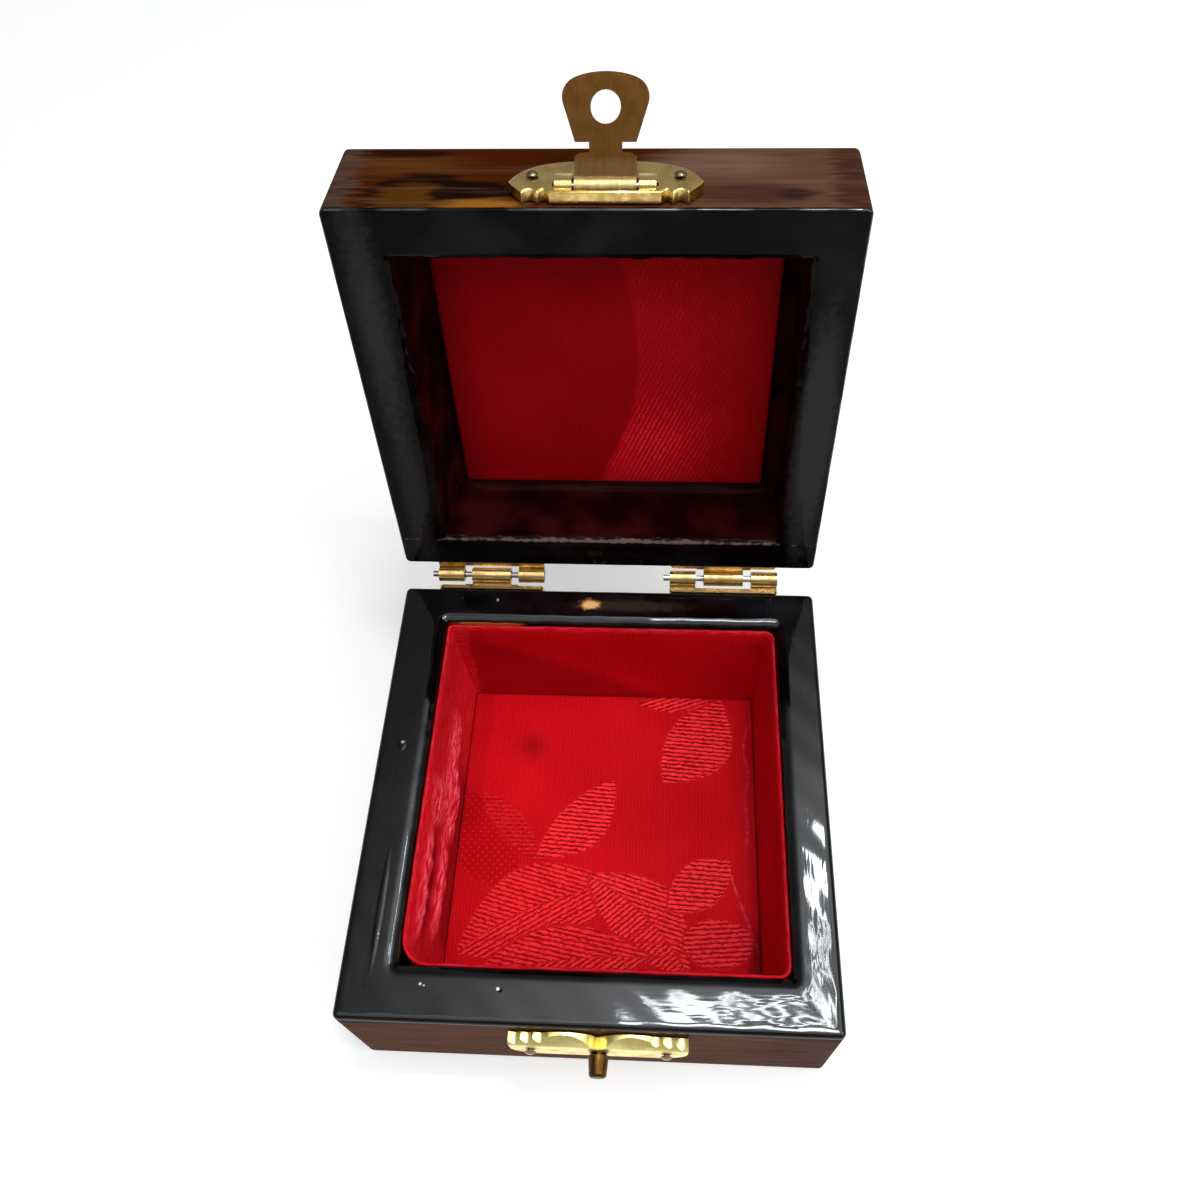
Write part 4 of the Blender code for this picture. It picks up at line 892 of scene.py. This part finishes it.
# %% Silk panel in the lid
CARD = 1.2 * MM
CARD_MARGIN = 2.7 * MM


def panel_lumps(x, y):
    """Slow swells of the padded card, half a tenth of a millimetre high."""
    return 0.05 * MM * ripple((x, 27, 1), (y, 14, 0.3), (x + y, 6.5, 0))


panel_low = np.array([WELL[0] + CARD_MARGIN, WELL[2] + CARD_MARGIN, 0.0])
panel_high = np.array([WELL[1] - CARD_MARGIN, WELL[3] - CARD_MARGIN, CARD])
panel_top, x, y = soft_card(panel_low, panel_high, 0.5 * MM, 180, 180, panel_lumps)
seam = np.interp(y, (-21, -12, 1, 12, 20, 27.5), (2.5, 4.5, 5.3, 3.6, 0.8, -2.2))
right_side = climb(x, seam, 0.9)
# Painted sheen: more floats show near the hinges.
float_sheen = np.exp(-((x - 9) / 8) ** 2 - ((y - 17) / 12) ** 2)
patchy = ripple((x + y, 7, 0.3), (x - y, 4.6, 1), (x, 2.9, 0.5))
floats_and_sheen = np.clip(0.1 + 0.42 * float_sheen + 0.14 * patchy, 0, 1)
# Painted shade over the panel: lighter right of the seam and at a painted sheen spot near the hinges,
# darker towards the left and right edges.
sheen_spot = np.exp(-((x - 7) / 10) ** 2 - ((y - 20) / 9) ** 2) * right_side
painted_shade = 0.52 - 0.2 * right_side - 0.4 * sheen_spot + 0.14 * climb(x, 22, 6) + 0.26 * climb(-x, 21, 6)
panel_shares = {"petal": right_side * floats_and_sheen * climb(-x, -27.5, 3), "shade_and_stain": np.clip(painted_shade, 0, 1),
                "slant": np.full_like(x, math.radians(-68))}


def under_ceiling(points):
    """Turn the card face down against the closed lid's ceiling, and swing it open with the lid."""
    return opened(points * (1, 1, -1) + np.array([0, 0, LID_RIM + CEILING_DEPTH]))


silk_panel = closed_card("silk_panel", panel_top, 0, panel_shares, under_ceiling)
dress(silk_panel, "lid", "silk", ("lid_lining_card",), silk)

# %% [markdown]
# The hasp and hinges are stamped sheet brass. Their shapes are right as they stand, but real
# stampings have softened edges that catch the light, so each gets a small bevel on a copy.

# %% Brass with softened edges
def softened(node, width):
    """A copy of a node with its flat faces rejoined and its edges bevelled by a small width."""
    item = new_object(node + "_soft", nodes[node].data.copy())
    shape = bmesh.new()
    shape.from_mesh(item.data)
    bmesh.ops.remove_doubles(shape, verts=shape.verts, dist=0.002 * MM)
    bmesh.ops.dissolve_limit(shape, angle_limit=math.radians(1), verts=shape.verts, edges=shape.edges)
    shape.to_mesh(item.data)
    shape.free()
    item.data.shade_smooth()
    item.data.set_sharp_from_angle(angle=math.radians(40))
    bevel = item.modifiers.new("softened edges", "BEVEL")
    bevel.width = width
    bevel.segments = 2
    bevel.limit_method = "ANGLE"
    bevel.angle_limit = math.radians(40)
    return item


tarnish, group_in, group_out = new_group(
    "tarnish",
    {"Place": "Vector", "Bright": "Color", "Dull": "Color", "Amount": "Float", "Polish": "Float"},
    {"Colour": "Color", "Height": "Float", "Roughness": "Float"})
cloudy = noise(tarnish, group_in["Place"], (420, 420, 420), 4, Roughness=0.6)
grainy = noise(tarnish, group_in["Place"], (3400, 3400, 3400), 2)
dulled = product(tarnish, ramped(tarnish, cloudy, 0.36, 0.7), group_in["Amount"])
feed(tarnish, group_out, Colour=mixed(tarnish, dulled, group_in["Bright"], group_in["Dull"]),
     Height=times_plus(tarnish, grainy, 0.3, cloudy),
     Roughness=times_plus(tarnish, dulled, 0.22, group_in["Polish"]))


WHOLE_WIDTH = 10000


def metal(name, bright, dull, amount, polish, relief, bands=(), lines=()):
    """A metal with cloudy tarnish, whose roughness and height follow the same cloud.

    Each band is (point, reach, shade): the shade covers what lies within the reach of a line
    along X through the point. Each of the lines is (scale, size) of brushing.
    """
    material, tree, shader = new_material(name, Metallic=1)
    where = own_place(tree)
    worn = use(tree, tarnish, Place=where, Bright=(*bright, 1), Dull=(*dull, 1), Amount=amount,
               Polish=polish)
    colour = worn["Colour"]
    layers = [(worn["Height"], relief)]
    for point, reach, shade in bands:
        mask = soft_spot(tree, where, point, (WHOLE_WIDTH, reach, reach), 0.35, 0.15)
        colour = mixed(tree, mask, colour, shade)
    for scale, size in lines:
        brushing = noise(tree, where, scale, 2)
        colour = mixed(tree, product(tree, ramped(tree, brushing, 0.4, 0.7), 0.3), colour, dull)
        layers.append((brushing, size))
    feed(tree, shader.inputs, Base_Color=colour, Roughness=worn["Roughness"])
    bump(tree, shader, *layers)
    return material


HASP_LINE = (1.7, 53.889, 107.413)
plate_brass = metal("plate_brass", (0.78, 0.56, 0.19), (0.34, 0.18, 0.056), 0.75, 0.22, 0.05 * MM)
post_brass = metal("post_brass", (1, 0.88, 0.34), (0.6, 0.37, 0.1), 0.65, 0.3, 0.04 * MM)
peg_brass = metal("peg_brass", (0.105, 0.053, 0.013), (0.045, 0.019, 0.005), 0.8, 0.24, 0.03 * MM)
leaf_brass = metal("leaf_brass", (0.125, 0.055, 0.014), (0.08, 0.032, 0.008), 0.7, 0.42, 0.012 * MM,
                   bands=((HASP_LINE, 3.4, (0.15, 0.078, 0.028)),
                          (HASP_LINE, 1.25, (0.62, 0.46, 0.2))),
                   lines=(((2600, 240, 240), 0.012 * MM),))
hinge_brass = metal("hinge_brass", (0.62, 0.43, 0.17), (0.26, 0.14, 0.05), 0.8, 0.24, 0.02 * MM,
                    lines=(((160, 2600, 2600), 0.008 * MM),))
nail_metal = metal("nail_metal", (0.26, 0.18, 0.105), (0.11, 0.068, 0.038), 0.8, 0.2, 0.02 * MM)
pin_steel = metal("pin_steel", (0.42, 0.41, 0.39), (0.22, 0.2, 0.18), 0.6, 0.25, 0.015 * MM)

stamped = [("hasp_plate", "lid", plate_brass, 0.14 * MM),
           ("hasp_post_plate", "base", post_brass, 0.12 * MM),
           ("hasp_post", "base", peg_brass, 0.1 * MM), ("hasp_leaf", "hasp", leaf_brass, 0.08 * MM)]
stamped += [("hinge_%s_%s_leaf" % (side, half), half, hinge_brass, 0.1 * MM)
            for side in ("left", "right") for half in ("base", "lid")]
for node, body, material, width in stamped:
    dress(softened(node, width), body, "brass", (node,), material)

for name, item in nodes.items():
    if "nail" in name:
        paint(item, nail_metal)
    elif name.endswith("_pin"):
        paint(item, pin_steel)

# %% [markdown]
# The box stands on a plain pale floor in a white studio. The floor whitens away from the box,
# so that it runs into the backdrop. Soft panels in front and at the right light the box
# evenly. A window of small panes hangs behind it, and the lacquer reflects it as pale streaks
# at the front right, inside a wide glow that makes the nearer rims grey.

# %% Floor, backdrop and lamps
def looks(tree):
    """Two masks: rays from the camera, and rays from a shiny or clear surface."""
    path = place(tree, "LightPath").outputs
    shiny = math_node(tree, "MAXIMUM", path["Is Glossy Ray"], path["Is Transmission Ray"])
    return path["Is Camera Ray"], shiny


floor_paint, tree, shader = new_material("floor_paint", Base_Color=(0.8, 0.8, 0.8, 1),
                                         Roughness=1, Specular_IOR_Level=0)
direct, shiny = looks(tree)
whiter = ramped(tree, length_of(tree, own_place(tree)), 0.25, 0.9, 0.4, 1)
lifted = times_plus(tree, direct, whiter, product(tree, shiny, 0.36))
lift = place(tree, "Emission", (1, 1, 1, 1), lifted).outputs[0]
both = place(tree, "AddShader", shader.outputs[0], lift).outputs[0]
feed(tree, tree.nodes["Material Output"].inputs, Surface=both)
floor_mesh = bpy.data.meshes.new("floor")
floor_mesh.from_pydata([(-4, -4, 0), (4, -4, 0), (4, 4, 0), (-4, 4, 0)], [], [(0, 1, 2, 3)])
floor_mesh.materials.append(floor_paint)
floor = new_object("floor", floor_mesh)
floor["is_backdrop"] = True


def lamp(name, centre, size, radiance, aim=None, colour=(1, 1, 1)):
    """A rectangular lamp facing down or at an aim, whose power is pi * area * radiance."""
    data = bpy.data.lights.new(name, "AREA")
    data.shape = "RECTANGLE"
    data.size, data.size_y = size
    data.color = colour
    data.energy = math.pi * size[0] * size[1] * radiance
    item = new_object(name, data)
    item.location = centre
    if aim is not None:
        item.rotation_euler = (aim - centre).to_track_quat("-Z", "Y").to_euler()


# centre and size of each pane, in millimetres, at the windows' height
PANES = ((54, 99.5, 108, 7), (72, 79.5, 134, 7), (34, 89, 48, 10), (124, 174, 26, 66),
         (127.5, 124, 5, 33), (110.5, 124, 4, 33), (136.5, 124, 4, 33), (123, 108.5, 30, 4),
         (133, 95, 12, 22), (75, 36, 150, 26))
PANE_HEIGHT = 660
PANE_RADIANCE = 60
for index, (x, y, wide, tall) in enumerate(PANES):
    lamp("pane_%d" % index, Vector((x, y, PANE_HEIGHT)) * MM, (wide * MM, tall * MM), PANE_RADIANCE,
         colour=(0.9, 0.97, 1))
lamp("soft_panel", Vector((0, -0.22, 0.67)), (0.8, 0.5), 1.8)
lamp("side_panel", Vector((0.42, -0.12, 0.42)), (0.3, 0.3), 5, Vector((0, 0, 0.03)))

OVERHEAD = 0.35
WINDOW_WAY = (0.17, 0.17, 0.97)
# width and height of each part of the glow about the window
GLOWS = ((0.34, 1.8), (0.24, 9.5), (0.15, -9))
world = bpy.data.worlds.new("studio")
bpy.context.scene.world = world
world.use_nodes = True
tree = world.node_tree
toward = place(tree, "TexCoord").outputs["Generated"]
upward = place(tree, "SeparateXYZ", toward).outputs["Z"]
level = ramped(tree, upward, 0.02, 0.2, 1, OVERHEAD)
apart = vector_sum(tree, "SUBTRACT", toward, WINDOW_WAY)
apart = length_of(tree, vector_sum(tree, "MULTIPLY", apart, (1, 1.4, 1)))
for width, height in GLOWS:
    fall = math_node(tree, "POWER", math_node(tree, "DIVIDE", apart, width), 2)
    fall = math_node(tree, "EXPONENT", product(tree, fall, -1))
    level = times_plus(tree, fall, height, level)
direct, shiny = looks(tree)
light = mixed(tree, direct, (0.2, 0.2, 0.2), (1, 1, 1))
reflected = vector_sum(tree, "MULTIPLY", (0.93, 0.97, 1), level)
feed(tree, tree.nodes["Background"].inputs, Color=mixed(tree, shiny, light, reflected))
bpy.context.scene.view_settings.view_transform = "Standard"

# %% [markdown]
# Last, the size of the dressed box is printed beside that of the model.

# %% Sizes and finish
seen_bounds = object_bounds()
for label, bounds in (("cad", cad_bounds), ("visual", seen_bounds)):
    print(label, [round(value / MM, 1) for corner in bounds for value in corner])
